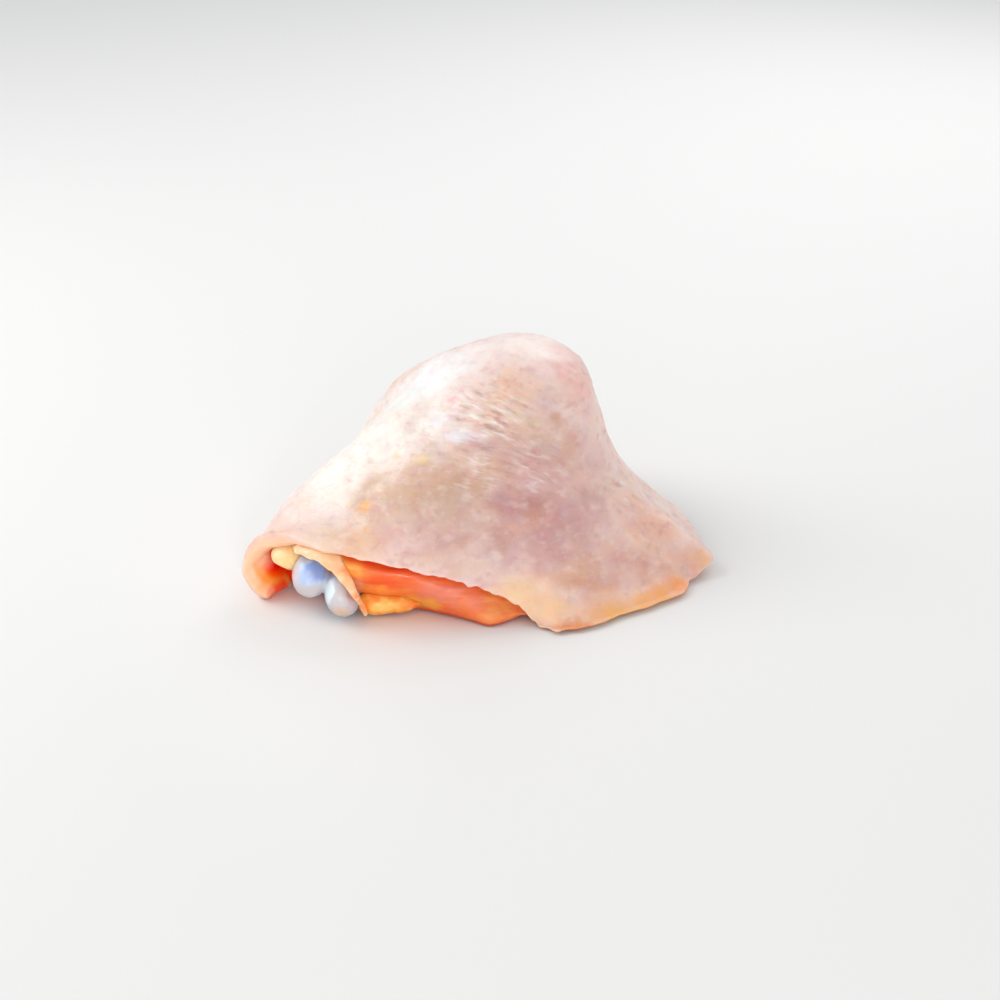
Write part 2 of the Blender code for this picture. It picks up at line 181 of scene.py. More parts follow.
# Each station of the edge: name, place, heading.
EDGE = [
    ("front hem", (15.5, -0.4, 0.0), 279),
    ("front right", (28.0, 5.8, 0.0), 294),
    ("right front", (45.6, 18.7, 0.0), 315),
    ("right toe", (49.2, 26.6, 1.0), 326),
    ("tip", (54.5, 34.0, 4.5), 334),
    ("right", (52.0, 46.0, 3.4), 346),
    ("right back", (49.7, 59.0, 3.5), 362),
    ("back corner", (42.7, 72.5, 3.0), 382),
    ("back right", (28.0, 86.0, 1.0), 408),
    ("back", (4.0, 95.0, 0.0), 452),
    ("back left", (-20.0, 91.0, 0.0), 487),
    ("left back", (-41.0, 76.0, 0.0), 519),
    ("left", (-56.0, 55.0, 0.0), 543),
    ("left hem", (-62.0, 37.0, 0.0), 557),
    ("curl foot", (-60.5, 19.5, 0.6), 565),
    ("curl side", (-64.5, 21.2, 7.8), 567.5),
    ("curl shoulder", (-61.0, 20.6, 15.8), 571),
    ("curl top", (-53.3, 15.0, 19.6), 577),
    ("brow", (-41.5, 7.0, 19.3), 586),
    ("cut left", (-25.0, 4.5, 16.0), 600),
    ("cut middle", (-9.8, 5.0, 11.7), 614),
    ("cut right", (3.0, 5.2, 6.0), 625),
    ("cut end", (10.0, 2.2, 0.9), 632.5),
]
print(len(EDGE), "stations round the edge")

# %% [markdown]
# ### Smooth curves through the stations
#
# Two kinds of curve do all the work. One goes round: it passes through every station, and takes its
# direction there from the two neighbours. The other goes down, from the crown over the shoulder and the
# flank to the edge, and each stretch leaves and arrives along the line between its neighbours.

# %% Curves that go round
PER_STATION = 20

station_headings = [place[2] for place in EDGE] + [EDGE[0][2] + 360.0]
columns = np.arange(len(EDGE) * PER_STATION) / PER_STATION
HEADINGS = np.interp(columns, np.arange(len(station_headings)), station_headings)
turns = np.radians(HEADINGS)
LEVEL = np.stack([np.cos(turns), np.sin(turns), np.zeros_like(turns)], axis=1)


def closed_curve(values):
    """Smooth values all the way round, one for each column of points."""
    values = np.asarray(values, float)
    count = len(values)
    rows = []
    for i in range(count):
        before, here, after, beyond = (values[k % count] for k in range(i - 1, i + 3))
        bend = 2 * before - 5 * here + 4 * after - beyond
        twist = -before + 3 * here - 3 * after + beyond
        for step in range(PER_STATION):
            u = step / PER_STATION
            rows.append(here + 0.5 * ((after - before) * u + bend * u**2 + twist * u**3))
    return np.array(rows)


def hermite(u, width, value_0, value_1, slope_0, slope_1):
    """The smooth curve between two values with these slopes."""
    return (
        (2 * u**3 - 3 * u**2 + 1) * value_0
        + (u**3 - 2 * u**2 + u) * width * slope_0
        + (3 * u**2 - 2 * u**3) * value_1
        + (u**3 - u**2) * width * slope_1
    )


def round_the_crown(table):
    """Each column of a table of headings, read off smoothly at our own headings."""
    table = np.asarray(table, float)
    known = np.concatenate([table[-2:, 0] - 360, table[:, 0], table[:3, 0] + 360])
    value = np.concatenate([table[-2:, 1:], table[:, 1:], table[:3, 1:]])
    wanted = np.mod(HEADINGS, 360.0)
    i = np.searchsorted(known, wanted, side="right") - 1
    width = (known[i + 1] - known[i])[:, None]

    def slope(k):
        """How steeply the values change at a known heading."""
        before = (known[k] - known[k - 1])[:, None]
        after = (known[k + 1] - known[k])[:, None]
        rise_before = (value[k] - value[k - 1]) / before
        rise_after = (value[k + 1] - value[k]) / after
        return (rise_before * after + rise_after * before) / (before + after)

    u = ((wanted - known[i])[:, None]) / width
    return hermite(u, width, value[i], value[i + 1], slope(i), slope(i + 1))


def ring_of(table):
    """The points of a ring that a table gives by heading, reach and height."""
    reach, height = round_the_crown(table).T
    return np.stack([CROWN[0] + reach * LEVEL[:, 0], CROWN[1] + reach * LEVEL[:, 1], height], axis=1)


print(len(HEADINGS), "columns of points round the crown")

# %% Curves that go down
stops = [np.repeat(CROWN[None], len(LEVEL), axis=0), ring_of(SHOULDER), ring_of(FLANK)]
stops.append(closed_curve([place[1] for place in EDGE]))
spans = [np.linalg.norm(b - a, axis=1)[:, None] for a, b in zip(stops, stops[1:])]
at_shoulder = (stops[2] - stops[0]) / (spans[0] + spans[1])
at_flank = (stops[3] - stops[1]) / (spans[1] + spans[2])
last_rise = (stops[3] - stops[2]) / spans[2]
slopes = [LEVEL, at_shoulder, at_flank, 1.5 * last_rise - 0.5 * at_flank]


def skin_at(shares):
    """Points on the outer skin, rows by columns: share 0 is the crown and 1 is the edge."""
    rows = []
    for share in shares:
        way = np.broadcast_to(share, len(LEVEL))[:, None] * sum(spans)
        row, passed = np.zeros_like(LEVEL), np.zeros_like(spans[0])
        for k, span in enumerate(spans):
            u = (way - passed) / span
            here = (u >= 0) & ((u <= 1) | (k == len(spans) - 1))
            row = np.where(here, hermite(u, span, stops[k], stops[k + 1], slopes[k], slopes[k + 1]), row)
            passed = passed + span
        rows.append(row)
    return np.array(rows)


def outward(grid, passes):
    """Unit normals of a grid whose first row is one point, evened out round the columns."""
    down = np.gradient(grid, axis=0)
    along = np.roll(grid, -1, axis=1) - np.roll(grid, 1, axis=1)
    normal = np.cross(down, along)
    normal = normal / np.maximum(np.linalg.norm(normal, axis=2, keepdims=True), 1e-9)
    for _ in range(passes):
        normal = 0.5 * normal + 0.25 * (np.roll(normal, 1, axis=1) + np.roll(normal, -1, axis=1))
    normal[0] = (0.0, 0.0, 1.0)
    return normal / np.linalg.norm(normal, axis=2, keepdims=True)


half_way = skin_at([0.5])[0, :, 2]
print("half way down, the skin is", half_way.min().round(1), "to", half_way.max().round(1), "mm high")

# %% [markdown]
# ## Lumps, wrinkles and pimples
#
# Blender's own noise gives a smooth random number for any place in space, the same on every run. Used at
# its plain size it makes lumps. Squeezed along one direction it makes streaks and wrinkles. Its cell noise
# gives the distance to the nearest of many scattered seeds, and a small bump round each seed is a pimple
# where a feather grew.

# %% Noise helpers
SEEDS_APART = 17.3


def lumps(points, size, seed):
    """Smooth noise, about -1 to 1, with lumps of this size in mm (one size, or one for each axis)."""
    scaled = points / np.asarray(size, float) + seed * SEEDS_APART
    return np.array([noise.noise(Vector(p)) for p in scaled.reshape(-1, 3)]).reshape(points.shape[:-1])


def pimples(points, spacing, width):
    """Small round bumps, 0 to 1, about this far apart and this wide, in mm."""
    scaled = (points / spacing).reshape(-1, 3)
    away = np.array([noise.voronoi(Vector(p))[0][0] for p in scaled]).reshape(points.shape[:-1])
    return np.clip(1 - (away * spacing / width) ** 2, 0, 1) ** 2


def near(points, place, reach):
    """A soft mask: 1 at the place, falling to nothing about this far away."""
    away = np.linalg.norm(points - np.array(place, float), axis=-1)
    return np.exp(-((away / reach) ** 2))


def smooth_step(value, low, high):
    """0 below low, 1 above high, and a smooth climb between."""
    u = np.clip((value - low) / (high - low), 0, 1)
    return u * u * (3 - 2 * u)


def between(value, starts, full, ends, gone):
    """0, then a smooth climb to 1, then a smooth fall back to 0."""
    return smooth_step(value, starts, full) * (1 - smooth_step(value, ends, gone))


def relief_of(points, layers, spots=()):
    """Height in mm, from layers of lumps (height, size, seed) and single spots (place, reach, height)."""
    height = np.zeros(points.shape[:-1])
    for high, size, seed in layers:
        height += high * lumps(points, size, seed)
    for place, reach, high in spots:
        height += high * near(points, place, reach)
    return height


# %% A mesh from rows of points
def add_piece(name, points, faces):
    """A smooth-shaded object from points in our millimetres."""
    mesh = bpy.data.meshes.new(name)
    mesh.from_pydata(((np.asarray(points) + SHIFT) * MM).tolist(), [], faces)
    mesh.shade_smooth()
    return add_object(name, mesh)


def ring_faces(rows, count):
    """Faces between rings of points: a fan to the first end point, the walls, and a fan to the last."""
    first_end, last_end, last = rows * count, rows * count + 1, (rows - 1) * count
    pairs = [(i, (i + 1) % count) for i in range(count)]
    first_fan = [(first_end, i, j) for i, j in pairs]
    walls = [(a + i, a + count + i, a + count + j, a + j) for a in range(0, last, count) for i, j in pairs]
    last_fan = [(last_end, last + j, last + i) for i, j in pairs]
    return first_fan, walls, last_fan


def rings_to_mesh(name, grid, top, bottom):
    """A closed piece from rings of points, with one point above and one below them."""
    first_fan, walls, last_fan = ring_faces(*grid.shape[:2])
    points = np.concatenate([grid.reshape(-1, 3), [top], [bottom]])
    return add_piece(name, points, first_fan + walls + last_fan)


def note_on_points(piece, name, values):
    """Keep a number, or three, for each point of a piece, for its finish to read."""
    values = np.asarray(values, np.float32)
    kind, field = ("FLOAT_VECTOR", "vector") if values.ndim == 2 else ("FLOAT", "value")
    piece.data.attributes.new(name, kind, "POINT").data.foreach_set(field, values.ravel())


# %% [markdown]
# ## The skin as a sheet with two sides
#
# The skin is one closed piece: the outer side from the crown down, round the cut edge, and the inner side
# back up. The outer side gets the relief. The cut edge is squared off a little and frayed by noise, because
# a knife never leaves a straight edge in something this soft. Where the sheet would dip under the floor it
# is lifted by just that much, as a real skin lies on top of what it touches.

# %% How thick the skin is
SKIN_ROWS = 130
EDGE_STEPS = 8
INNER_SHARES = np.concatenate([np.linspace(0.992, 0.72, 24), np.linspace(0.66, 0.12, 6)])
SKIN_THICKNESS, CURL_THICKNESS = 2.2, 3.3
CURL_HEADINGS = (196.0, 222.0)
CURL_ENDS_AT = 1.5

heading = np.mod(HEADINGS, 360)
curl_middle, curl_half = sum(CURL_HEADINGS) / 2, (CURL_HEADINGS[1] - CURL_HEADINGS[0]) / 2
at_curl = np.clip(CURL_ENDS_AT - np.abs(heading - curl_middle) / curl_half, 0, 1)
thickness = SKIN_THICKNESS + (CURL_THICKNESS - SKIN_THICKNESS) * at_curl
print("the skin is", thickness.min(), "to", thickness.max(), "mm thick")

# %% How the cut edge wanders: all over, more where torn, less where straight, size of the lumps, seed
TORN_HEADINGS = (246.0, 260.0, 276.0, 284.0)
STRAIGHT_HEADINGS = (214.0, 222.0, 268.0, 280.0)
EDGE_WANDERS = [(0.4, 1.0, 0.0, 2.2, 3), (0.0, 0.35, 0.0, 1.1, 21), (1.1, 0.0, 0.7, 7.0, 4)]
CALM_AT_CURL = 0.8
EDGE_DRAWN_UP = 0.3
MEASURED_ROWS = 40

edge_line = skin_at([1.0])[0]
steps_down = np.diff(skin_at(np.linspace(0, 1, MEASURED_ROWS)), axis=0)
crown_to_edge = np.linalg.norm(steps_down, axis=2).sum(axis=0)
torn = between(heading, *TORN_HEADINGS)
straight = between(heading, *STRAIGHT_HEADINGS)
fray = np.zeros(len(heading))
for all_over, if_torn, if_straight, size, seed in EDGE_WANDERS:
    fray += (all_over + if_torn * torn - if_straight * straight) * lumps(edge_line, size, seed)
fray *= 1 - CALM_AT_CURL * at_curl
edge_share = 1 + (fray - EDGE_DRAWN_UP) / crown_to_edge
print("crown to edge:", crown_to_edge.min().round(1), "to", crown_to_edge.max().round(1), "mm")

# %% Relief of the outer side
SKIN_LUMPS = [(0.60, 15.0, 1), (0.42, 6.0, 2), (0.20, 2.6, 5)]
# Each spot: place, reach, how far it stands up. Each wrinkled patch: place, reach, how much.
SKIN_SPOTS = [
    ((14.4, 37.8, 41.3), 2.6, -0.30),  # dimple
    ((43.5, 42.0, 10.5), 8.0, 1.10),  # rounded flank
    ((52.8, 33.2, 4.8), 2.6, 0.60),  # tip
    ((49.0, 32.2, 5.2), 1.7, -0.75),  # crease behind the tip
    ((48.6, 29.8, 3.5), 1.5, -0.60),  # the same crease, lower down
    ((5.5, 6.5, 7.5), 4.5, 0.80),  # roll beside the cut
    ((8.0, 11.5, 15.0), 5.0, -0.60),  # hollow above the roll
    ((-36.0, 14.0, 23.0), 6.0, -0.45),  # fold at the brow
    ((-48.0, 14.5, 20.0), 6.0, 0.50),  # swell over the knee
    ((-7.0, 40.0, 46.0), 7.0, 0.55),  # swell at the crest
    ((-4.0, 28.0, 37.0), 7.0, -0.55),  # hollow under the crest
]
WRINKLED = [
    ((-3, 34, 43), 13, 1.0), ((8, 27, 35), 12, 0.75), ((-6, 24, 34), 11, 0.7), ((-22, 30, 36), 13, 0.5),
    ((-33, 23, 28), 11, 0.45), ((31, 41, 20), 9, 0.75), ((-40, 14, 22), 10, 0.4),
]
FEW_WRINKLES = 0.14
FOLDS = [(0.24, 11.0, 2.4, 6), (0.20, 7.0, 1.4, 19)]
FOLD_SLOPE, FOLD_BEND, FOLD_SHARPNESS = 0.30, 0.008, 3.2
PIMPLE_HEIGHT, PIMPLE_SPACING, PIMPLE_WIDTH = 0.20, 3.2, 1.2
PIMPLED_SIZE, PIMPLED_LEVEL, PIMPLED_SWING, PIMPLED_LEAST = 18.0, 0.55, 0.9, 0.15


def wrinkled_share(points):
    """How wrinkled the skin is at each point: full in the crumpled patch below the crown."""
    share = FEW_WRINKLES
    for place, reach, much in WRINKLED:
        share = np.maximum(share, much * near(points, place, reach))
    return share


def along_folds(points, length, spacing):
    """Places squeezed so that noise makes long folds, level at the left and sloping down at the right."""
    x, y, z = points[..., 0], points[..., 1], points[..., 2]
    return np.stack([x / length, y / length, (z + FOLD_SLOPE * x + FOLD_BEND * x**2) / spacing], axis=-1)


def wrinkles(points, length, spacing, seed):
    """Long thin folds, about -1 to 1."""
    return 1 - FOLD_SHARPNESS * np.abs(lumps(along_folds(points, length, spacing), 1.0, seed))


def skin_relief(points):
    """How far the outer side stands proud, in mm."""
    height = relief_of(points, SKIN_LUMPS, SKIN_SPOTS)
    folds = sum(high * wrinkles(points, length, spacing, seed) for high, length, spacing, seed in FOLDS)
    bumpy = np.clip(PIMPLED_LEVEL + PIMPLED_SWING * lumps(points, PIMPLED_SIZE, 7), PIMPLED_LEAST, 1)
    bumps = PIMPLE_HEIGHT * bumpy * pimples(points, PIMPLE_SPACING, PIMPLE_WIDTH)
    return height + wrinkled_share(points) * folds + bumps


NORMAL_PASSES = 220
shares = np.linspace(0, 1, SKIN_ROWS + 1)
outer = skin_at([share * edge_share for share in shares])
normal = outward(outer, NORMAL_PASSES)
relief = skin_relief(outer)
relief[0] = relief[1].mean()
outer += normal * relief[..., None]
print("relief:", relief.min().round(2), "to", relief.max().round(2), "mm")

# %% Fold the sheet round its cut edge and back up the inner side
THIN_EDGE, THIN_OVER = 0.6, 5.0
SQUARE, ROUND = 0.55, 1.0
EDGE_STANDS_OUT, ROWS_BACK = 0.8, 5
ABOVE_FLOOR = 0.02
LIP_WIDTH, LIP_HEIGHT, LIP_LEFT_OF = 5.5, 12.0, -50.0
LIP_FRONT_TO_BACK = (15.0, 26.5, 28.0, 32.0)

inner_row_of = np.round(INNER_SHARES * SKIN_ROWS).astype(int)
depth_inside = (1 - INNER_SHARES[:, None]) * crown_to_edge
thins_by = THIN_EDGE * (1 - at_curl)
thinned = 1 - thins_by * (1 - smooth_step(depth_inside, 0, THIN_OVER))
inner = skin_at([share * edge_share for share in INNER_SHARES])
inner -= normal[inner_row_of] * (thickness * thinned)[..., None]
lip = between(inner[..., 1], *LIP_FRONT_TO_BACK)
lip *= (1 - smooth_step(inner[..., 2], 0, LIP_HEIGHT)) * (inner[..., 0] < LIP_LEFT_OF)
inner[..., 0] += LIP_WIDTH * lip

out_of_edge = outer[-1] - outer[-1 - ROWS_BACK]
out_of_edge /= np.linalg.norm(out_of_edge, axis=1, keepdims=True)
half = (thickness * (1 - thins_by))[:, None] / 2
core = outer[-1] - normal[-1] * half
squareness = (ROUND + (SQUARE - ROUND) * at_curl)[:, None]
round_the_edge = []
for angle in np.linspace(0, pi, EDGE_STEPS + 1)[1:-1]:
    across = np.sign(cos(angle)) * abs(cos(angle)) ** squareness
    along = EDGE_STANDS_OUT * sin(angle) ** squareness
    round_the_edge.append(core + half * (normal[-1] * across + out_of_edge * along))

skin_rings = np.concatenate([outer[1:], round_the_edge, inner])
under_floor = np.maximum(ABOVE_FLOOR - (outer - normal * thickness[None, :, None])[..., 2], 0)
at_edge = np.repeat(under_floor[-1:], EDGE_STEPS - 1, axis=0)
skin_rings[..., 2] += np.concatenate([under_floor[1:], at_edge, under_floor[inner_row_of]])
skin_rings[..., 2] = np.maximum(skin_rings[..., 2], ABOVE_FLOOR)
skin = rings_to_mesh("draped_skin", skin_rings, outer[0, 0], CROWN - (0, 0, SKIN_THICKNESS))

# %% Notes for the finish: which side, how deep inside, how wrinkled, and where along the folds
FOLD_LENGTH, FOLD_SPACING = 5.5, 1.05

edge_side = np.linspace(0, 1, EDGE_STEPS + 1)[1:-1]
side = np.concatenate([np.zeros(SKIN_ROWS), edge_side, np.ones(len(INNER_SHARES))])
depth = np.concatenate([np.zeros((SKIN_ROWS + EDGE_STEPS - 1, len(heading))), depth_inside])
note_on_points(skin, "inner_side", [*np.repeat(side, len(heading)), 0.0, 1.0])
note_on_points(skin, "depth_inside", [*depth.ravel(), 0.0, depth_inside.max()])
note_on_points(skin, "wrinkled", [*wrinkled_share(skin_rings).ravel(), FEW_WRINKLES, FEW_WRINKLES])
fold_places = along_folds(skin_rings, FOLD_LENGTH, FOLD_SPACING).reshape(-1, 3)
note_on_points(skin, "along_folds", np.concatenate([fold_places, fold_places[:1], fold_places[-1:]]))
print("skin:", len(skin.data.polygons), "faces")

# %% [markdown]
# ## The muscle
#
# The muscle fills the skin like a hand in a glove, comes out where the leg was cut, and lies on its own
# underside. So its top rows are the skin's rows pushed in by the skin's thickness, its side is one curve
# from there to the foot, and its underside runs in to the middle with a few shallow hollows. The bare cut
# gets fine ridges along the fibres.

# %% How far the muscle follows the skin, and its foot
MUSCLE_SHARE = [
    (0, 0.66), (20, 0.70), (45, 0.82), (90, 0.93), (135, 0.94), (165, 0.94), (188, 0.90), (200, 0.84),
    (209, 0.82), (217, 0.86), (226, 0.96), (245, 0.985), (268, 0.985), (280, 0.93), (300, 0.84),
    (320, 0.72), (340, 0.66),
]
MUSCLE_FOOT = [
    (0, 31.0, 1.0), (19, 31.0, 1.0), (52, 31.0, 0.8), (92, 33.0, 0.6), (132, 38.5, 0.6),
    (162, 46.0, 0.6), (182, 53.0, 0.8), (194, 59.0, 1.2), (201, 66.0, 1.6), (207, 68.0, 1.8),
    (212, 66.5, 2.2), (218, 64.0, 2.4), (224, 61.5, 2.4), (229, 60.0, 1.8), (234.5, 57.5, 1.0),
    (240, 53.5, 0.8), (247, 52.5, 0.6), (256, 53.5, 0.5), (262, 55.2, 0.5), (267, 51.8, 0.6),
    (272, 48.0, 0.8), (285, 48.0, 0.8), (299, 45.5, 0.8), (316, 40.0, 0.8), (335, 34.0, 0.9),
]
MUSCLE_CENTRE = np.array([0.0, 46.0, 0.0])
MUSCLE_TOP_ROWS, MUSCLE_SIDE_ROWS = 40, 34
MUSCLE_GAP = 0.6
CUT_BULGE, SIDE_BULGE = 2.2, 0.6
FULL_BULGE_HEIGHT = 12.0
BARE_FROM, BARE_IN_FULL = 0.95, 0.98
BULGE_UP, BULGE_DOWN = 0.3, 0.35
# Each row of the underside: how far in, how much of the hollows.
UNDERSIDE_ROWS = [
    (0.06, 0.1), (0.13, 0.25), (0.2, 0.4), (0.3, 0.6), (0.4, 0.8), (0.5, 0.9), (0.6, 1.0), (0.8, 0.0),
]
HOLLOW_DEPTH, HOLLOW_FROM = 1.6, 0.25
WAVE_X, WAVE_Y = (9.0, 0.6), (11.0, -0.4)


def muscle_side(top, share):
    """Rows from the last row under the skin round the side to the foot."""
    rim, foot = top[-1], ring_of(MUSCLE_FOOT)
    bare = np.clip((share - BARE_FROM) / (BARE_IN_FULL - BARE_FROM), 0, 1)
    bare = (bare * np.clip(rim[:, 2] / FULL_BULGE_HEIGHT, 0, 1))[:, None]
    bulge = SIDE_BULGE + (CUT_BULGE - SIDE_BULGE) * bare
    drop = np.linalg.norm(rim - foot, axis=1)[:, None]
    slope = rim - top[-2]
    slope = slope / np.linalg.norm(slope, axis=1)[:, None]
    upper = rim + BULGE_UP * drop * slope + bulge * LEVEL * bare
    lower = foot + bulge * LEVEL + np.array([0.0, 0.0, BULGE_DOWN]) * drop
    rows = []
    for u in np.linspace(0, 1, MUSCLE_SIDE_ROWS + 1)[1:]:
        start = (1 - u) ** 3 * rim + 3 * u * (1 - u) ** 2 * upper
        rows.append(start + 3 * u**2 * (1 - u) * lower + u**3 * foot)
    return rows


def muscle_underside(foot):
    """Rows from the foot in to the flat middle, with a few shallow hollows."""
    rows = []
    for u, share in UNDERSIDE_ROWS:
        row = foot + (MUSCLE_CENTRE - foot) * u
        row[:, 2] = foot[:, 2] * max(1 - 2 * u, 0)
        wave = np.sin(row[:, 0] / WAVE_X[0] + WAVE_X[1]) * np.sin(row[:, 1] / WAVE_Y[0] + WAVE_Y[1])
        row[:, 2] += HOLLOW_DEPTH * share * np.maximum(wave - HOLLOW_FROM, 0)
        rows.append(row)
    return rows


# %% Build the muscle's rings and add the fibres
FIBRES = [(0.42, (11.0, 5.0, 2.6), 8), (0.22, (5.0, 2.0, 1.1), 9)]
FIBRES_START_ABOVE = 3
FIBRE_NORMAL_PASSES = 10

muscle_share = round_the_crown(MUSCLE_SHARE)[:, 0]
under_skin = skin_at([row / MUSCLE_TOP_ROWS * muscle_share for row in range(MUSCLE_TOP_ROWS + 1)])
under_skin -= outward(under_skin, NORMAL_PASSES) * (thickness + MUSCLE_GAP)[None, :, None]
muscle_rows = muscle_side(under_skin, muscle_share)
muscle_grid = np.array([*under_skin[1:], *muscle_rows, *muscle_underside(muscle_rows[-1])])

side_rows = slice(MUSCLE_TOP_ROWS - FIBRES_START_ABOVE, MUSCLE_TOP_ROWS + MUSCLE_SIDE_ROWS)
fibres = relief_of(muscle_grid[side_rows], FIBRES)
fade = np.sin(np.linspace(0, pi, len(fibres))) ** 0.5
side_normal = outward(muscle_grid, FIBRE_NORMAL_PASSES)[side_rows]
muscle_grid[side_rows] += side_normal * (fibres * fade[:, None])[..., None]
muscle_grid[..., 2] = np.maximum(muscle_grid[..., 2], 0)
muscle_top = CROWN - np.array([0, 0, SKIN_THICKNESS + MUSCLE_GAP])
muscle = rings_to_mesh("muscle", muscle_grid, muscle_top, MUSCLE_CENTRE)
side_share = np.linspace(-1, 1, MUSCLE_SIDE_ROWS + 1)[1:]
down = np.concatenate([-np.ones(MUSCLE_TOP_ROWS), side_share, np.ones(len(UNDERSIDE_ROWS))])
note_on_points(muscle, "down_the_side", [*np.repeat(down, len(HEADINGS)), -1.0, 1.0])
print("muscle:", len(muscle.data.polygons), "faces")

# %% [markdown]
# ## Bone and gristle
#
# The end of the thigh bone is two rounded knobs covered in smooth wet gristle. Overlapping balls and a rod
# for the shaft give the form, but with hard creases where they meet. A voxel remesh melts them into one
# skin, and a few rounds of smoothing turn the creases into the soft valleys of a real joint.

# %% Knobs, shaft and hip end as overlapping bodies
SHAFT = [
    ((-44.6, 13.2, 8.8), 3.3), ((-41.6, 19.0, 8.8), 4.6), ((-37.0, 26.0, 9.4), 4.0),
    ((-26.0, 36.0, 10.4), 3.3), ((-12.0, 48.0, 10.6), 3.2), ((2.0, 60.0, 9.4), 3.7), ((12.4, 69.4, 6.8), 4.0),
]
KNEE_OUTER = {"centre": (-46.8, 13.4, 9.6), "radii": (4.8, 6.7, 5.6), "lean": 6}
KNEE_INNER = {"centre": (-38.8, 9.8, 6.2), "radii": (4.7, 6.5, 5.8), "lean": -6}
HIP_HEAD = {"centre": (13.5, 70.5, 6.3), "radii": (6.2, 6.2, 5.9), "lean": 0}
BONE_VOXEL = 0.34


def ball(centre, radii, lean=0.0, turn=0.0, fineness=5):
    """Points and faces of a ball that is stretched, leaned about Y and turned about Z."""
    work = bmesh.new()
    bmesh.ops.create_icosphere(work, subdivisions=fineness, radius=1.0)
    place = Matrix.Translation(Vector(centre)) @ Matrix.Rotation(radians(turn), 4, "Z")
    place = place @ Matrix.Rotation(radians(lean), 4, "Y") @ Matrix.Diagonal((*radii, 1.0))
    points = np.array([place @ vert.co for vert in work.verts])
    faces = [tuple(vert.index for vert in face.verts) for face in work.faces]
    work.free()
    return points, faces


def rod(line, per_stretch, sides, lies_on=None, flatness=1.0):
    """A round rod of changing width along a line, or a ribbon that lies round a middle point."""
    places = np.array([place for place, _ in line], float)
    steps = np.linspace(0, len(line) - 1, (len(line) - 1) * per_stretch + 1)
    k = np.clip(steps.astype(int), 0, len(line) - 2)
    u = (steps - k)[:, None]
    slope = np.gradient(places, axis=0)
    middle = hermite(u, 1.0, places[k], places[k + 1], slope[k], slope[k + 1])
    width = np.interp(steps, np.arange(len(line)), [width for _, width in line])
    ahead = np.gradient(middle, axis=0)
    ahead /= np.linalg.norm(ahead, axis=1, keepdims=True)
    upward = np.array([0.0, 0.0, 1.0]) if lies_on is None else middle - np.array(lies_on)
    across = np.cross(ahead, upward)
    across /= np.linalg.norm(across, axis=1, keepdims=True)
    up = np.cross(across, ahead) * flatness
    turn = np.arange(sides) / sides * 2 * pi
    circle = np.cos(turn)[None, :, None] * across[:, None] + np.sin(turn)[None, :, None] * up[:, None]
    rings = middle[:, None] + circle * width[:, None, None]
    ends = [middle[0] - ahead[0] * width[0], middle[-1] + ahead[-1] * width[-1]]
    first_fan, walls, last_fan = ring_faces(len(steps), sides)
    return np.concatenate([rings.reshape(-1, 3), ends]), walls + first_fan + last_fan


def join(bodies):
    """One list of points and one of faces from several."""
    points, faces, passed = [], [], 0
    for body_points, body_faces in bodies:
        points.append(body_points)
        faces += [tuple(index + passed for index in face) for face in body_faces]
        passed += len(body_points)
    return np.concatenate(points), faces


def apply_modifiers(piece):
    """Put what the modifiers make into the piece's own mesh."""
    graph = bpy.context.evaluated_depsgraph_get()
    made = bpy.data.meshes.new_from_object(piece.evaluated_get(graph))
    old = piece.data
    piece.modifiers.clear()
    piece.data = made
    bpy.data.meshes.remove(old)
    made.name = piece.name
    made.shade_smooth()


def melt(piece, voxel, softness, rounds):
    """Remesh a piece to one even skin and smooth it."""
    remesh = piece.modifiers.new("melt", "REMESH")
    remesh.mode, remesh.voxel_size = "VOXEL", voxel * MM
    smooth = piece.modifiers.new("soften", "SMOOTH")
    smooth.factor, smooth.iterations = softness, rounds
    apply_modifiers(piece)


def threes(source, field):
    """Three numbers for each point."""
    flat = np.empty(len(source) * 3, np.float32)
    source.foreach_get(field, flat)
    return flat.reshape(-1, 3)


def points_of(piece):
    """The points of a piece in our millimetres."""
    return threes(piece.data.vertices, "co") / MM - SHIFT


def push_out(piece, amount):
    """Move each point along its normal by this many mm."""
    moved = points_of(piece) + threes(piece.data.vertex_normals, "vector") * np.asarray(amount)[:, None]
    piece.data.vertices.foreach_set("co", ((moved + SHIFT) * MM).astype(np.float32).ravel())
    piece.data.update()


# %% Melt the knobs and the shaft into one bone, then press the groove and the dent into it
MELT_SOFTNESS, MELT_ROUNDS = 0.6, 5
BONE_LUMPS = [(0.16, 4.0, 11), (0.05, 1.6, 12)]
BONE_SPOTS = [((-44.9, 9.0, 13.2), 2.3, -0.6), ((-34.8, 7.0, 8.6), 3.6, -2.4)]

bone_bodies = [ball(**KNEE_OUTER), ball(**KNEE_INNER), ball(**HIP_HEAD), rod(SHAFT, 8, 32)]
knuckle = add_piece("knuckle", *join(bone_bodies))
melt(knuckle, BONE_VOXEL, MELT_SOFTNESS, MELT_ROUNDS)
push_out(knuckle, relief_of(points_of(knuckle), BONE_LUMPS, BONE_SPOTS))
print("bone:", len(knuckle.data.polygons), "faces")

# %% [markdown]
# ## The pale band across the joint
#
# A sheet of pale tissue wraps the joint. At the front it shows as a cream wedge between the skin, the knob
# and the muscle, and thins to a pale line round the lower knob. It is a ribbon along a curved line, wide at
# the top and narrow at the foot, that lies round the middle of the joint and is made uneven with noise.

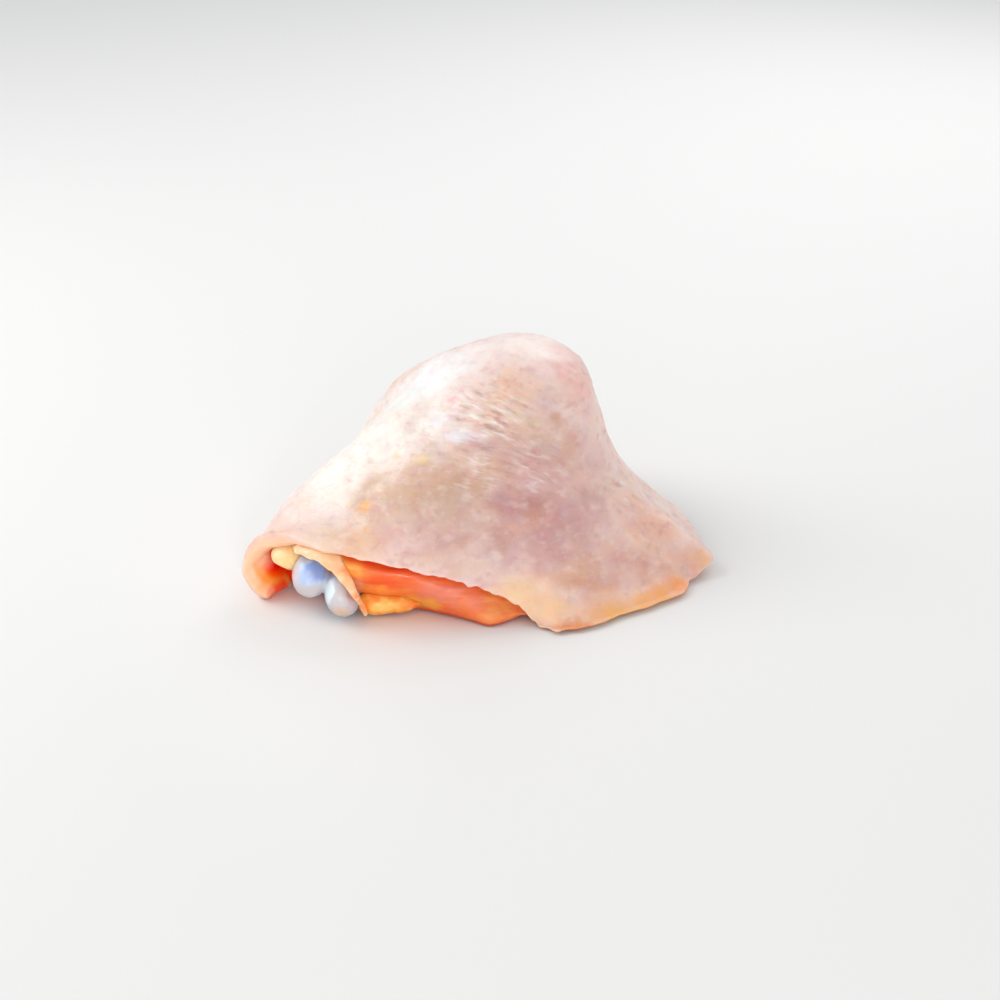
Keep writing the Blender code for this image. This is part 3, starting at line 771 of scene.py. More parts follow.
# %% Build the pale band
BAND = [
    ((-49.6, 12.8, 17.4), 2.0), ((-45.6, 10.2, 17.6), 2.5), ((-41.2, 7.6, 16.2), 2.4),
    ((-37.6, 5.0, 12.6), 1.4), ((-35.5, 4.0, 9.0), 0.95), ((-34.0, 4.4, 5.6), 0.8), ((-33.0, 5.6, 2.4), 0.5),
]
JOINT_MIDDLE = (-40.5, 13.0, 7.5)
BAND_FLATNESS = 0.36
BAND_LUMPS = [(0.35, 2.6, 13), (0.15, 1.1, 14)]

band = add_piece("joint_band", *rod(BAND, 16, 28, JOINT_MIDDLE, BAND_FLATNESS))
push_out(band, relief_of(points_of(band), BAND_LUMPS))
print("band:", len(band.data.polygons), "faces")

# %% [markdown]
# ## Fat
#
# Fat is a bag of small grains held by a thin film, so its surface is a cobble of low soft bumps. Each lobe
# starts as a stretched ball, gets slow swells and hollows so that it is not an egg, and then the grains.

# %% Build the two lobes of fat
KNEE_FAT = {"centre": (-52.6, 18.4, 12.6), "radii": (4.3, 5.6, 3.8), "turn": -18}
KNEE_FAT_SPOTS = [((-49.5, 15, 14.5), 3.0, 0.9), ((-54.5, 14.5, 9.6), 2.6, -0.9)]
FRONT_FAT = {"centre": (-26.0, 10.6, 3.4), "radii": (8.8, 3.6, 3.0), "turn": 5}
FRONT_FAT_SPOTS = [((-32.5, 8.2, 4.4), 3.6, 1.3), ((-19.5, 8.6, 4.4), 5.5, -1.1)]
GRAIN_HEIGHT, GRAIN_SPACING, GRAIN_WIDTH = 0.10, 1.9, 1.2


def fat_lobe(name, shape, seed, spots):
    """A lobe of fat with swells of its own and grains."""
    piece = add_piece(name, *ball(**shape, fineness=6))
    points = points_of(piece)
    relief = relief_of(points, [(0.5, 4.0, seed), (0.06, 0.9, seed + 1)], spots)
    push_out(piece, relief + GRAIN_HEIGHT * pimples(points, GRAIN_SPACING, GRAIN_WIDTH))
    print(name, len(piece.data.polygons), "faces")
    return piece


knee_fat = fat_lobe("knee_fat_lobe", KNEE_FAT, 15, KNEE_FAT_SPOTS)
front_fat = fat_lobe("front_fat_pad", FRONT_FAT, 17, FRONT_FAT_SPOTS)

# %% [markdown]
# ## Make room in the muscle
#
# Two things cannot fill the same place, so the muscle is cut back round the bone, the band and the fat, with
# a gap too thin to see. The exact Boolean does this cleanly. The cutters are slightly swollen copies of the
# pieces themselves, so the muscle follows every bump of its neighbours.

# %% Cut the neighbours out of the muscle
THIN_GAP = 0.05
HIP_HOLLOW = {"centre": (12.5, 70.0, -6.0), "radii": (12.5, 11.0, 9.6), "turn": 20}


def swollen_copy(piece):
    """A copy of a piece, larger all round by the thin gap."""
    copy = add_object(piece.name + "_space", piece.data.copy())
    push_out(copy, np.full(len(copy.data.vertices), THIN_GAP))
    return copy


def cut_out(piece, neighbours, cutters=()):
    """Cut the neighbours, swollen, and the cutters out of the piece, then remove the cutters."""
    cutters = [swollen_copy(neighbour) for neighbour in neighbours] + [*cutters]
    for cutter in cutters:
        cut = piece.modifiers.new("cut", "BOOLEAN")
        cut.operation, cut.solver, cut.object = "DIFFERENCE", "EXACT", cutter
    apply_modifiers(piece)
    for cutter in cutters:
        bpy.data.objects.remove(cutter, do_unlink=True)


hip_hollow = add_piece("hip_hollow", *ball(**HIP_HOLLOW))
cut_out(band, [knuckle])
cut_out(knee_fat, [knuckle, band])
cut_out(front_fat, [knuckle, band])
cut_out(muscle, [knuckle, band, knee_fat, front_fat], [hip_hollow])
print("muscle after the cuts:", len(muscle.data.polygons), "faces")

# %% [markdown]
# ## Helpers for the finishes
#
# Every finish here is built the same way. A base colour is painted over with soft patches, each a ball in
# space with a place and a reach, whose edge is broken up by noise; some patches are the flesh's own colour
# and some are painted light and shade. Then fine noise adds the speckle, and the last step sets how wet the
# surface is and how far light travels inside it.

# %% Small helpers to build node trees
def linear(red, green, blue):
    """A colour as a painter reads it (0 to 255), turned into the shader's own scale."""
    parts = [value / 255 for value in (red, green, blue)]
    return (*[p / 12.92 if p <= 0.04045 else ((p + 0.055) / 1.055) ** 2.4 for p in parts], 1.0)


def set_sockets(made, inputs):
    """Fill sockets of a node: each is (socket, value or another node's output)."""
    for key, value in inputs:
        if isinstance(value, bpy.types.NodeSocket):
            made.id_data.links.new(value, made.inputs[key])
        else:
            made.inputs[key].default_value = value
    return made


def node(tree, kind, inputs=(), **settings):
    """Add a node with its settings and its filled sockets."""
    made = tree.nodes.new("ShaderNode" + kind)
    for key, value in settings.items():
        setattr(made, key, value)
    return set_sockets(made, inputs)


def mix(tree, share, first, second):
    """The second colour over the first, by a share."""
    return node(tree, "Mix", [(0, share), (6, first), (7, second)], data_type="RGBA").outputs[2]


def speckle(tree, where, size, detail, roughness=0.55):
    """Noise with lumps of this size in mm, 0 to 1."""
    inputs = [("Vector", where), ("Scale", 1 / (size * MM)), ("Detail", detail), ("Roughness", roughness)]
    return node(tree, "TexNoise", inputs).outputs["Fac"]


def step_up(tree, value, low, high, top=1.0, bottom=0.0):
    """A value climbing smoothly from the bottom to the top, as the input goes from low to high."""
    inputs = [("Value", value), ("From Min", low), ("From Max", high), ("To Min", bottom), ("To Max", top)]
    return node(tree, "MapRange", inputs, interpolation_type="SMOOTHSTEP").outputs["Result"]


def times(tree, first, second):
    """Two values multiplied."""
    return node(tree, "Math", [(0, first), (1, second)], operation="MULTIPLY").outputs[0]


def noted(tree, name, output="Fac"):
    """What was noted on the points of the piece under this name."""
    return node(tree, "Attribute", attribute_name=name).outputs[output]


def vector_math(tree, kind, *values):
    """Vectors put together by this kind of sum."""
    return node(tree, "VectorMath", [*enumerate(values)], operation=kind).outputs[0]


def wandering(tree, size, amount):
    """The place of each point, and the same place pushed about by noise, so that patches get uneven edges."""
    place = node(tree, "TexCoord").outputs["Object"]
    inputs = [("Vector", place), ("Scale", 1 / (size * MM)), ("Detail", 1.0)]
    drift = node(tree, "TexNoise", inputs, normalize=False).outputs["Color"]
    return place, vector_math(tree, "MULTIPLY_ADD", drift, (amount * MM,) * 3, place)


def patch(tree, where, place, reach, soft, turn=(0, 0, 0), top=1.0):
    """A share that is full round a place and gone at its reach; soft is how much of it is edge."""
    sizes = reach if isinstance(reach, tuple) else (reach,) * 3
    inputs = [
        ("Vector", where),
        ("Location", in_frame(place)),
        ("Rotation", [radians(angle) for angle in turn]),
        ("Scale", [size * MM for size in sizes]),
    ]
    inside = node(tree, "Mapping", inputs, vector_type="TEXTURE").outputs["Vector"]
    ball_of_paint = node(tree, "TexGradient", [("Vector", inside)], gradient_type="SPHERICAL").outputs["Fac"]
    return step_up(tree, ball_of_paint, 0.0, soft, top)


def paint(tree, where, base, patches):
    """Patches over a base colour, first to last: (place, reach, soft, colour, how much, any turn)."""
    colour = base
    for place, reach, soft, paint_colour, much, *turn in patches:
        share = patch(tree, where, place, reach, soft, *turn, top=much)
        colour = mix(tree, share, colour, linear(*paint_colour))
    return colour


def raise_bumps(tree, height, mm_high, under=None):
    """A bump node for a height of 0 to 1 that stands this many mm high."""
    inputs = [("Height", height), ("Distance", mm_high * MM), ("Strength", 1.0)]
    if under is not None:
        inputs.append(("Normal", under))
    return node(tree, "Bump", inputs).outputs["Normal"]


def new_finish(name, glow_mm, tint, weight):
    """A flesh material: its tree and its shader, with how far light of each colour travels inside."""
    material = bpy.data.materials.new(name)
    material.use_nodes = True
    shader = material.node_tree.nodes["Principled BSDF"]
    shader.subsurface_method = "RANDOM_WALK"
    shader.inputs["Subsurface Weight"].default_value = weight
    shader.inputs["Subsurface Radius"].default_value = tint
    shader.inputs["Subsurface Scale"].default_value = glow_mm * MM
    return material, material.node_tree, shader


def wear(piece, material):
    """Put one material on a piece."""
    piece.data.materials.clear()
    piece.data.materials.append(material)


# %% [markdown]
# ## The finish of the skin
#
# Raw skin is cream where fat lies under it and pink where muscle does, yellower at the thin hem, and it
# carries faint veins and stains. The colours also carry painted light and shade: near white on the left and
# the crown, which face the lamps; darker and browner on the front and the right; a painted highlight on the
# backs of the fine folds and painted shade between them; a painted sheen in the crumpled patch; painted warm
# bounce light low down and orange along the hem; painted glow and shade inside the curl.

# %% The skin's colours and its painted light and shade, from the top to the hem
SKIN_BASE = (240, 212, 202)
# painted warm bounce light from the floor: within this height above it the skin turns warmer, unevenly
LOW_WARM_BOUNCE, LOW_BOUNCE_SHARE, LOW_BOUNCE_UP_TO = (244, 188, 138), 0.6, 9.0
# Each zone: place, reach, how much of it is edge, colour, how much. The zones are partly the skin's own
# colour and partly painted light and shade: paler where the skin faces the lamps, darker and browner where it
# faces away.
SKIN_TONE_AND_SHADE_ZONES = [
    # painted light: near white on the left facet and on the crown, which face the lamps
    ((-34, 44, 32), (42, 40, 40), 1.0, (250, 246, 238), 0.95),
    ((5, 60, 54), 20, 1.0, (254, 240, 236), 0.8),
    ((19, 52, 46), 13, 1.0, (248, 192, 184), 0.75),
    # painted shade on the upper front, below the crest
    ((7, 30, 37), (22, 15, 12), 1.0, (216, 178, 164), 0.85),
    ((15, 34, 33), 12, 1.0, (210, 160, 150), 0.6),
    ((7.5, 33, 40.5), 6, 1.0, (240, 214, 192), 0.5),
    ((0, 36, 44), (10, 6, 5), 1.0, (246, 222, 206), 0.5),
    # painted shade on the front facet, browner on its left, which faces away from the window lamp
    ((-12, 20, 30), (24, 18, 15), 1.0, (210, 170, 144), 1.0),
    ((-17, 17, 26), (14, 10, 9), 1.0, (204, 178, 158), 0.6),
    ((14, 20, 22), (24, 20, 20), 1.0, (204, 154, 152), 0.95),
    ((10, 14, 17), (12, 9, 9), 1.0, (200, 152, 150), 0.7),
    ((7, 19, 26), (14, 10, 8), 1.0, (194, 132, 126), 0.8),
    ((25, 31, 22), 9, 1.0, (196, 144, 136), 0.55),
    ((36, 36, 14), (14, 14, 12), 1.0, (240, 184, 156), 0.8),
    ((40, 24, 6), (14, 12, 8), 1.0, (218, 156, 128), 0.85),
    # painted shade, darker cream, low on the left facet
    ((-29, 20, 26), (16, 13, 9), 1.0, (222, 184, 152), 0.85),
    ((-29, 23, 29), (12, 9, 7), 1.0, (208, 180, 152), 0.6),
    ((-30, 18, 26), (16, 12, 9), 1.0, (206, 172, 148), 0.8),
    # painted light, near white, high on the left toward the back
    ((-16, 55, 46), (20, 18, 16), 0.9, (252, 255, 255), 0.95),
    ((-10, 12, 20), (24, 8, 7), 1.0, (206, 160, 150), 0.8),
    ((1, 13.5, 19), (8, 6, 6), 1.0, (202, 150, 142), 0.7),
    ((20, 12, 10), (18, 10, 8), 1.0, (212, 152, 124), 0.85),
    ((30, 20, 10), 10, 1.0, (214, 152, 130), 0.6),
    ((48, 31, 5), 7, 1.0, (222, 168, 150), 0.7),
    ((41, 32, 9), (10, 10, 9), 1.0, (234, 182, 158), 0.6),
    ((25, 40, 28), (12, 12, 12), 1.0, (214, 172, 166), 0.6),
    ((3.5, 41.0, 47.5), (11, 7, 5.5), 0.9, (240, 194, 160), 0.8),
    ((-42, 10, 21), (16, 9, 8), 1.0, (228, 212, 192), 0.8),
    ((-34, 9.3, 21), (14, 8, 7), 1.0, (228, 186, 152), 0.85),
    ((-15, 9, 14), (14, 6, 6), 1.0, (224, 188, 170), 0.7),
    ((-58, 18, 17), (10, 10, 8), 1.0, (248, 192, 170), 0.95),
    ((-62, 24, 6), (4, 12, 10), 1.0, (246, 186, 166), 0.85),
]
# The hem is partly its own yellower thin skin and partly painted warm bounce light, orange along the edge
# that lies on the floor. Same columns as the zones.
HEM_TONE_AND_BOUNCE_ZONES = [
    ((5, 6.5, 7.5), (12, 8, 8), 1.0, (250, 210, 162), 0.8),
    ((13, 4, 5), (9, 6, 6), 1.0, (248, 204, 156), 0.75),
    ((26, 8, 2), (13, 9, 7), 1.0, (234, 174, 130), 0.8),
    ((18.5, 1.0, 0.4), (8.5, 4.5, 3.8), 0.8, (230, 142, 78), 0.95),
    ((29, 6.5, 0.8), (9, 7, 5.6), 0.9, (248, 184, 108), 0.9),
    ((35.5, 11.5, 1.2), (8, 8, 5.2), 0.9, (248, 180, 106), 0.85),
    ((40.5, 16.5, 1.6), (7, 8, 5.6), 0.9, (248, 172, 92), 0.85),
    ((45.4, 21.8, 1.8), (6, 6, 4.0), 0.9, (248, 156, 72), 0.9),
    ((51.5, 32.0, 4.2), 5.5, 1.0, (234, 184, 146), 0.75),
]
# Each calm region: place, reach, how much mottling is left.
CALM = [
    ((-38, 48, 32), (36, 34, 38), 0.4), ((9, 58, 52), (26, 20, 16), 0.35), ((-16, 52, 45), 22, 0.25),
    ((-48, 16, 20), 16, 0.5), ((-14, 9, 14), (18, 8, 9), 0.6), ((-5, 100, 15), (60, 44, 50), 0.35),
]
# Small marks, with the same columns and any turn: the first two are painted bluish-white sheen on the
# crumpled patch, the rest are spots, streaks and three veins.
SKIN_TINTS_AND_SHEEN = [
    ((-15.1, 35.6, 41.7), (6, 4, 2.4), 0.8, (238, 228, 230), 0.8),
    ((-10.0, 30.4, 39.5), (8, 4, 2.0), 0.8, (238, 236, 244), 0.7),
    ((-11.3, 40.2, 45.2), (3.4, 2.4, 1.3), 0.8, (240, 174, 178), 0.85),
    ((-33.6, 18.9, 26), 2.8, 0.9, (236, 166, 78), 1.0),
    ((-19.6, 26.5, 34.7), (3.4, 2.6, 2.2), 0.9, (238, 206, 146), 0.7),
    ((-26, 30, 34), 2.2, 0.9, (246, 214, 164), 0.6),
    ((-38.1, 22.3, 24.9), 1.4, 0.9, (246, 204, 150), 0.5),
    ((-32.5, 12.0, 22.5), 1.6, 0.9, (244, 196, 120), 0.6),
    ((14.4, 37.8, 41.3), (3.0, 3, 2.8), 1.0, (214, 156, 122), 0.6),
    ((8.5, 34, 42), (2.6, 3, 2.2), 0.9, (222, 196, 160), 0.6),
    ((4.0, 34.5, 43.5), (4.0, 3, 2.0), 0.9, (226, 210, 172), 0.6),
    ((-3.0, 40.5, 47.3), (4.0, 3, 2.0), 0.9, (226, 216, 210), 0.6),
    ((22, 28, 25), (3, 3, 3), 0.9, (206, 142, 140), 0.6),
    ((0, 20, 27), (4, 3, 3), 0.9, (196, 152, 156), 0.5),
    ((-7, 14, 22), (4, 3, 3), 0.9, (216, 188, 176), 0.6),
    ((0.2, 33.8, 42.4), (6.5, 2.0, 0.7), 0.8, (224, 142, 136), 0.45, (0, 20, -20)),  # three veins
    ((-6.0, 33.0, 42.0), (5.0, 2.0, 0.6), 0.8, (232, 160, 154), 0.4, (0, 14, -10)),
    ((22.0, 26.0, 22.0), (4.0, 2.0, 0.6), 0.8, (212, 142, 144), 0.35, (0, 40, -20)),
]

# %% Mottling: fine blotches over the painted zones
LEVEL_STRETCH = (0.72, 0.6, 1.15)
# Each kind of blotch: size, where the noise starts to show and is full, colour, how much.
SKIN_BLOTCHES = [
    (9.0, 0.45, 0.80, (234, 184, 140), 0.40),
    (5.0, 0.45, 0.78, (212, 150, 158), 0.40),
    (3.2, 0.49, 0.80, (250, 232, 224), 0.36),
    (2.0, 0.50, 0.78, (200, 148, 140), 0.40),
    (2.7, 0.50, 0.80, (210, 196, 208), 0.30),
    (1.3, 0.54, 0.82, (250, 236, 230), 0.18),
]
# Each step inward: where it starts and is full, in mm from the edge, colour. The peach and yellow near the
# edge are the fat on the skin's inner side; the orange and red further in are painted glow of light through
# the thin skin and painted shade in the hollow of the curl.
INSIDE_TONE_AND_GLOW_BY_DEPTH = [
    (1.0, 2.4, (255, 168, 76)),
    (2.4, 4.6, (255, 96, 12)),
    (4.0, 6.6, (255, 20, 3)),
]
# painted glow and shade inside the curl: deep orange at its foot and deep red low in the hollow, with peach,
# the skin's own, higher up the curl's side
INSIDE_TONE_GLOW_AND_SHADE_ZONES = [
    ((-58.5, 22.0, 1.0), (5, 7, 5), 0.7, (255, 112, 16), 1.0),
    ((-59.5, 18.5, 5.0), (3.2, 4.5, 4.0), 0.9, (252, 150, 64), 0.7),
    ((-60.0, 20.5, 11.5), (4.5, 6, 6), 0.8, (253, 198, 164), 1.0),
    ((-55.0, 20.0, 2.0), (4.6, 6, 3.6), 0.8, (255, 60, 8), 0.9),
]
BLOTCHES_APART = 0.31


def mottle(tree, still, colour, blotches, strength=1.0, stretch=(1, 1, 1)):
    """Lay noise blotches over a colour: (size in mm, where they start and are full, colour, how much)."""
    for number, (size, start, full, blotch, much) in enumerate(blotches):
        moved = vector_math(tree, "MULTIPLY_ADD", still, stretch, (BLOTCHES_APART * (number + 1), 0.0, 0.0))
        share = step_up(tree, speckle(tree, moved, size, 2.0, 0.5), start, full, much)
        colour = mix(tree, times(tree, share, strength), colour, linear(*blotch))
    return colour


# %% Build the skin's material
SKIN_GLOW, INSIDE_GLOW = 1.1, 4.0
INSIDE_BASE = (252, 200, 168)
# painted shade in the valleys of the fine folds and a painted highlight on their backs
VALLEY_SHADE, FOLD_HIGHLIGHT = (184, 140, 122), (255, 252, 250)
FOLDS_STAND, GRAIN_STANDS = 0.6, 0.20
TURNS_IN = (0.25, 0.75)

skin_material, tree, shader = new_finish("raw_skin", SKIN_GLOW, (1.0, 0.45, 0.32), 0.75)
still, where = wandering(tree, 9.0, 4.0)
barely_moved = wandering(tree, 2.5, 0.9)[1]
height_up = node(tree, "SeparateXYZ", [("Vector", where)]).outputs["Z"]
low_bounce = step_up(tree, height_up, LOW_BOUNCE_UP_TO * MM, 0.0, LOW_BOUNCE_SHARE)
uneven = step_up(tree, speckle(tree, still, 7.0, 2.0), 0.38, 0.62)
colour = mix(tree, times(tree, low_bounce, uneven), linear(*SKIN_BASE), linear(*LOW_WARM_BOUNCE))
colour = paint(tree, where, colour, SKIN_TONE_AND_SHADE_ZONES)
strength = 1.0
for place, reach, left in CALM:
    calm = patch(tree, where, place, reach, 1.0)
    strength = times(tree, step_up(tree, calm, 0.0, 1.0, left, 1.0), strength)
colour = mottle(tree, still, colour, SKIN_BLOTCHES, strength, LEVEL_STRETCH)
colour = paint(tree, barely_moved, colour, SKIN_TINTS_AND_SHEEN)

# %% Fine folds: a painted highlight on their backs, painted shade between them
crumpled = step_up(tree, noted(tree, "wrinkled"), FEW_WRINKLES, 1.0)
folded = noted(tree, "along_folds", "Vector")
fold_inputs = [("Vector", folded), ("Scale", 1.0), ("Detail", 2.0), ("Roughness", 0.55), ("Distortion", 0.3)]
fold_height = node(tree, "TexNoise", fold_inputs).outputs["Fac"]
valley_shade = times(tree, step_up(tree, fold_height, 0.47, 0.27, 0.6), crumpled)
back = times(tree, step_up(tree, fold_height, 0.53, 0.74, 0.7), crumpled)
colour = mix(tree, back, mix(tree, valley_shade, colour, linear(*VALLEY_SHADE)), linear(*FOLD_HIGHLIGHT))

# %% The inner side, from peach at the edge to painted glow and shade, orange to red, deep inside
side = noted(tree, "inner_side")
depth = noted(tree, "depth_inside")
inside = linear(*INSIDE_BASE)
for start, full, deeper in INSIDE_TONE_AND_GLOW_BY_DEPTH:
    inside = mix(tree, step_up(tree, depth, start, full), inside, linear(*deeper))
inside = paint(tree, barely_moved, inside, INSIDE_TONE_GLOW_AND_SHADE_ZONES)
colour = mix(tree, step_up(tree, side, *TURNS_IN), colour, inside)
colour = paint(tree, barely_moved, colour, HEM_TONE_AND_BOUNCE_ZONES)

# %% How far light travels in the skin, how wet it is, and its finest bumps
glow_mm = step_up(tree, side, *TURNS_IN, INSIDE_GLOW, SKIN_GLOW)
wet = step_up(tree, speckle(tree, still, 8.0, 2.0), 0.35, 0.7, 0.48, 0.36)
wetter = step_up(tree, crumpled, 0.3, 1.0, 0.8, 1.0)
grain = raise_bumps(tree, speckle(tree, still, 1.1, 4.0, 0.6), GRAIN_STANDS)
set_sockets(shader, [
    ("Base Color", colour), ("Roughness", times(tree, wet, wetter)),
    ("Subsurface Scale", times(tree, glow_mm, MM)),
    ("Specular IOR Level", step_up(tree, side, *TURNS_IN, 0.08, 0.5)),
    ("Coat Weight", 0.12), ("Coat Roughness", 0.2),
    ("Normal", raise_bumps(tree, times(tree, fold_height, crumpled), FOLDS_STAND, grain)),
])
wear(skin, skin_material)
print("skin finish:", len(tree.nodes), "nodes")

# %% [markdown]
# ## The finish of the muscle
#
# Cut muscle is wet and deep, so light travels far in it, most of all red light. It goes from orange beside
# the knee to salmon in the middle. Painted shade turns it dark red under the skin's lip on the left, at its
# foot where it meets the floor, and in the hollow under the curl.

# %% The muscle's colours and its painted shade
MUSCLE_BASE = (246, 118, 54)
MUSCLE_ZONES = [
    ((-37.5, 7, 15), (8, 7, 5), 0.8, (255, 174, 76), 1.0),
    ((-29, 6, 12), (12, 7, 5.5), 0.9, (248, 96, 34), 0.95),
    ((-13, 5, 8.0), (15, 8, 5), 0.9, (240, 142, 118), 0.95),
    ((1, 5, 4.5), (12, 8, 6), 0.9, (255, 166, 98), 0.95),
    ((-29, 6.5, 8), (8, 5, 3), 0.9, (255, 156, 60), 0.7),
    ((-20, 8, 4), (9, 6, 4.5), 0.8, (255, 170, 60), 0.95),
    ((-35, 4, 8), (3.4, 5, 6), 0.7, (252, 158, 106), 0.85),
]
# where the painted shadow under the skin's lip falls: round the left half of the cut
LEFT_HALF = ((-34, 7, 14), 24)
# Each band of painted shade down the side, under the skin's lip at the top and at the foot where the muscle
# meets the floor: where it starts and is full, colour, how much.
MUSCLE_SHADE_BANDS = [
    (-0.66, -0.98, (220, 66, 24), 0.7),
    (0.74, 1.0, (204, 50, 14), 0.8),
]
# painted shade and glow in the hollow under the curl: deep red, and deep orange near the curl's foot
UNDER_THE_CURL_SHADE = [
    ((-53, 20, 5), (9, 12, 10), 0.7, (255, 30, 4), 1.0),
    ((-60.5, 24, 3), (5, 7, 7), 0.9, (255, 96, 8), 1.0),
]
STRANDS = [(1.0, 0.45, 0.75, (254, 172, 116), 0.24), (1.7, 0.50, 0.8, (214, 70, 30), 0.35)]
FIBRE_STRETCH = (0.25, 0.7, 1.0)

muscle_material, tree, shader = new_finish("raw_muscle", 2.0, (1.0, 0.26, 0.14), 0.7)
still, where = wandering(tree, 5.0, 3.0)
grained = vector_math(tree, "MULTIPLY", still, FIBRE_STRETCH)
colour = paint(tree, where, linear(*MUSCLE_BASE), MUSCLE_ZONES)
for size, start, full, strand, much in STRANDS:
    share = step_up(tree, speckle(tree, grained, size, 4.0, 0.6), start, full, much)
    colour = mix(tree, share, colour, linear(*strand))
# painted shade down the side: under the skin's lip on the left, and at the foot
down = noted(tree, "down_the_side")
at_left = patch(tree, still, *LEFT_HALF, 0.5)
for (start, full, shade, much), where_it_is in zip(MUSCLE_SHADE_BANDS, (at_left, 1.0)):
    share = times(tree, step_up(tree, down, start, full, much), where_it_is)
    colour = mix(tree, share, colour, linear(*shade))
colour = paint(tree, where, colour, UNDER_THE_CURL_SHADE)
hollow = patch(tree, still, *UNDER_THE_CURL_SHADE[0][:3])
set_sockets(shader, [
    ("Base Color", colour), ("Roughness", 0.32), ("Coat Roughness", 0.12),
    ("Specular IOR Level", step_up(tree, hollow, 0.2, 0.9, 0.05, 0.3)),
    ("Coat Weight", step_up(tree, hollow, 0.2, 0.9, 0.0, 0.15)),
    ("Normal", raise_bumps(tree, speckle(tree, grained, 1.2, 4.0, 0.6), 0.3)),
])
wear(muscle, muscle_material)
print("muscle finish:", len(tree.nodes), "nodes")

# %% [markdown]
# ## The finish of the bone, the band and the fat
#
# Gristle is glassy and blue-white. Painted shade makes the outer knob deep blue in its groove, where the band
# shades it, and the knobs carry painted highlights on their edges and a painted warm reflection low on the
# inner knob. The band is opaque cream. Fat is the most see-through of all: yellow, with light that travels
# far and comes out warm. The front pad has a painted highlight on its top and painted shade at its foot.

# %% The gristle's colours, with painted shade, highlights and a warm reflection
KNUCKLE_BASE = (200, 205, 218)
KNUCKLE_BLOTCHES = [(2.2, 0.52, 0.75, (184, 190, 214), 0.2), (1.3, 0.55, 0.75, (236, 234, 238), 0.2)]
KNUCKLE_TONE_LIGHT_AND_SHADE = [
    ((-47.0, 8.5, 12), (5, 5, 6), 0.6, (180, 202, 234), 0.9),
    ((-51.0, 11.5, 11), (3.4, 6, 7), 0.7, (216, 202, 204), 0.9),
    # painted shade: deep blue in the outer knob's groove, where the band shades it
    ((-43.9, 8.4, 13.6), (4.8, 4.2, 4.0), 0.4, (146, 174, 230), 0.95),
    # painted highlight, lilac, on the outer knob
    ((-46.4, 8.4, 11.6), 1.7, 0.7, (186, 194, 232), 0.7),
    ((-47.0, 7.6, 7.2), (6, 4, 3.8), 0.6, (202, 192, 190), 0.9),
    ((-39.5, 4.0, 7.5), (3.6, 4, 5), 0.6, (206, 200, 200), 0.9),
    # painted highlight along the inner knob's left edge
    ((-42.0, 6.2, 9.0), (1.7, 3.4, 4.4), 0.4, (226, 240, 248), 0.95),
    # painted warm reflection low on the inner knob
    ((-39.0, 4.2, 3.2), (4.4, 4, 3.4), 0.8, (212, 182, 152), 1.0),
]

knuckle_material, tree, shader = new_finish("wet_gristle", 1.6, (0.8, 0.7, 0.8), 0.6)
still, where = wandering(tree, 2.5, 0.7)
colour = paint(tree, where, linear(*KNUCKLE_BASE), KNUCKLE_TONE_LIGHT_AND_SHADE)
colour = mottle(tree, still, colour, KNUCKLE_BLOTCHES)
set_sockets(shader, [
    ("Base Color", colour), ("Roughness", 0.36), ("Coat Weight", 0.25), ("Coat Roughness", 0.15),
    ("Normal", raise_bumps(tree, speckle(tree, still, 1.4, 3.0), 0.12)),
])
wear(knuckle, knuckle_material)
print("gristle finish:", len(tree.nodes), "nodes")


# %% One recipe for the band and both lobes of fat
def soft_tissue(name, base, pale, deep, glow_mm, patches):
    """A pale wet tissue: speckled with a paler and a deeper colour."""
    material, tree, shader = new_finish(name, glow_mm, (1.0, 0.6, 0.3), 0.7)
    still, where = wandering(tree, 3.0, 1.6)
    colour = paint(tree, where, linear(*base), patches)
    for size, start, full, shade in ((1.8, 0.48, 0.75, pale), (2.6, 0.52, 0.80, deep)):
        share = step_up(tree, speckle(tree, still, size, 2.0), start, full, 0.5)
        colour = mix(tree, share, colour, linear(*shade))
    set_sockets(shader, [
        ("Base Color", colour), ("Roughness", 0.34), ("Specular IOR Level", 0.35),
        ("Coat Weight", 0.15), ("Coat Roughness", 0.12),
        ("Normal", raise_bumps(tree, speckle(tree, still, 0.9, 3.0), 0.14)),
    ])
    return material


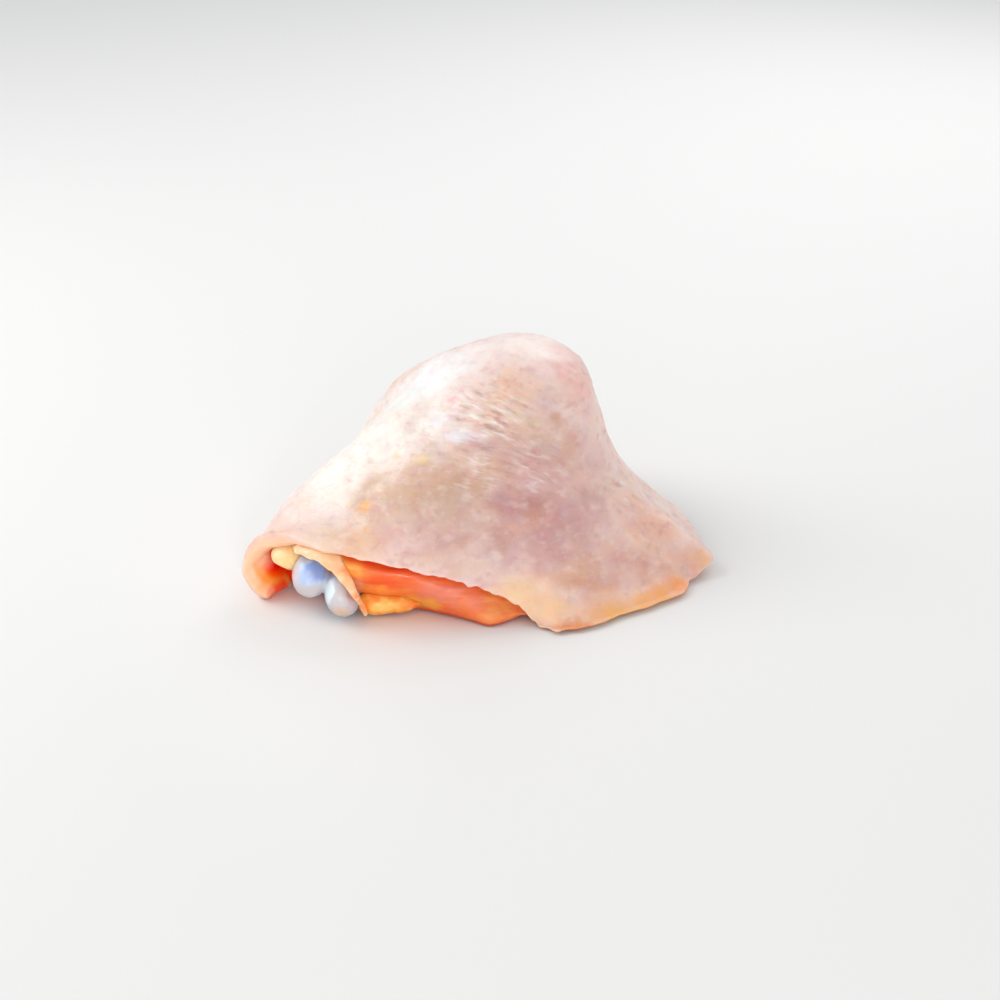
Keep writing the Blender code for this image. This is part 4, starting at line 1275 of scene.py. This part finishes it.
FRONT_FAT_TONE_LIGHT_AND_SHADE = [
    ((-33.5, 8.5, 3.6), (4.0, 5, 4), 0.6, (250, 138, 30), 0.95),
    # paler fat on top of the pad, with a painted highlight
    ((-28.4, 7.0, 4.0), (4.6, 4, 1.9), 0.5, (252, 194, 98), 0.95),
    ((-27.5, 8.5, 6.8), (9, 4, 2.4), 0.7, (255, 140, 48), 0.95),
    ((-20.5, 8.0, 3.6), (5.5, 5, 5), 0.8, (254, 124, 40), 1.0),
    # painted shade at the foot, darker orange-red where the pad meets the floor
    ((-26.0, 9.0, 0.2), (9, 6, 1.8), 0.7, (226, 90, 16), 0.9),
]
KNEE_FAT_PATCHES = [
    ((-55.5, 16.0, 14.0), (4, 5, 4), 0.7, (253, 220, 172), 0.8),
    ((-51.5, 17.0, 9.5), (3, 5, 3), 0.7, (250, 168, 96), 0.8),
]
BAND_PATCHES = [
    ((-46.5, 10, 17.4), (7, 5, 4), 0.7, (248, 206, 168), 0.9),
    ((-40.3, 6.4, 15.4), (3.4, 4, 3.2), 0.9, (242, 178, 132), 0.7),
    ((-36.9, 5.6, 14.2), (3.2, 4, 4.6), 1.0, (252, 150, 84), 1.0),
    ((-34.0, 3.8, 7.0), (3.4, 4, 8), 0.9, (255, 144, 84), 1.0),
    ((-36.6, 3.6, 9.4), 1.2, 0.8, (252, 206, 190), 0.8),
]
# Each tissue: piece, name, base, paler, deeper, how far light travels, patches.
TISSUES = [
    (band, "pale_band", (248, 206, 160), (252, 230, 204), (242, 172, 122), 1.2, BAND_PATCHES),
    (knee_fat, "cream_fat", (250, 204, 146), (253, 222, 176), (246, 172, 104), 2.0, KNEE_FAT_PATCHES),
    (front_fat, "golden_fat", (252, 178, 78), (254, 208, 128), (246, 130, 40), 2.2, FRONT_FAT_TONE_LIGHT_AND_SHADE),
]

for piece, *recipe in TISSUES:
    wear(piece, soft_tissue(*recipe))
print("materials:", [material.name for material in bpy.data.materials])

# %% [markdown]
# ## Put the pieces on the body
#
# Each piece rides on the one body of the model and takes the place of its plain node, which is hidden.

# %% Attach every piece to the body and hide the node it stands in for
# Each piece, the imported node that it stands in for, and its slot.
PIECES = [
    (skin, "skin", "skin"),
    (muscle, "meat", "meat"),
    (knuckle, "femur", "bone"),
    (band, "joint_capsule", "capsule"),
    (knee_fat, "knee_fat", "pale_fat"),
    (front_fat, "front_fat", "yellow_fat"),
]
for piece, packed_node, slot in PIECES:
    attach(piece, "root")
    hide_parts(packed_node)
    print(piece.name, "stands in for", packed_node)
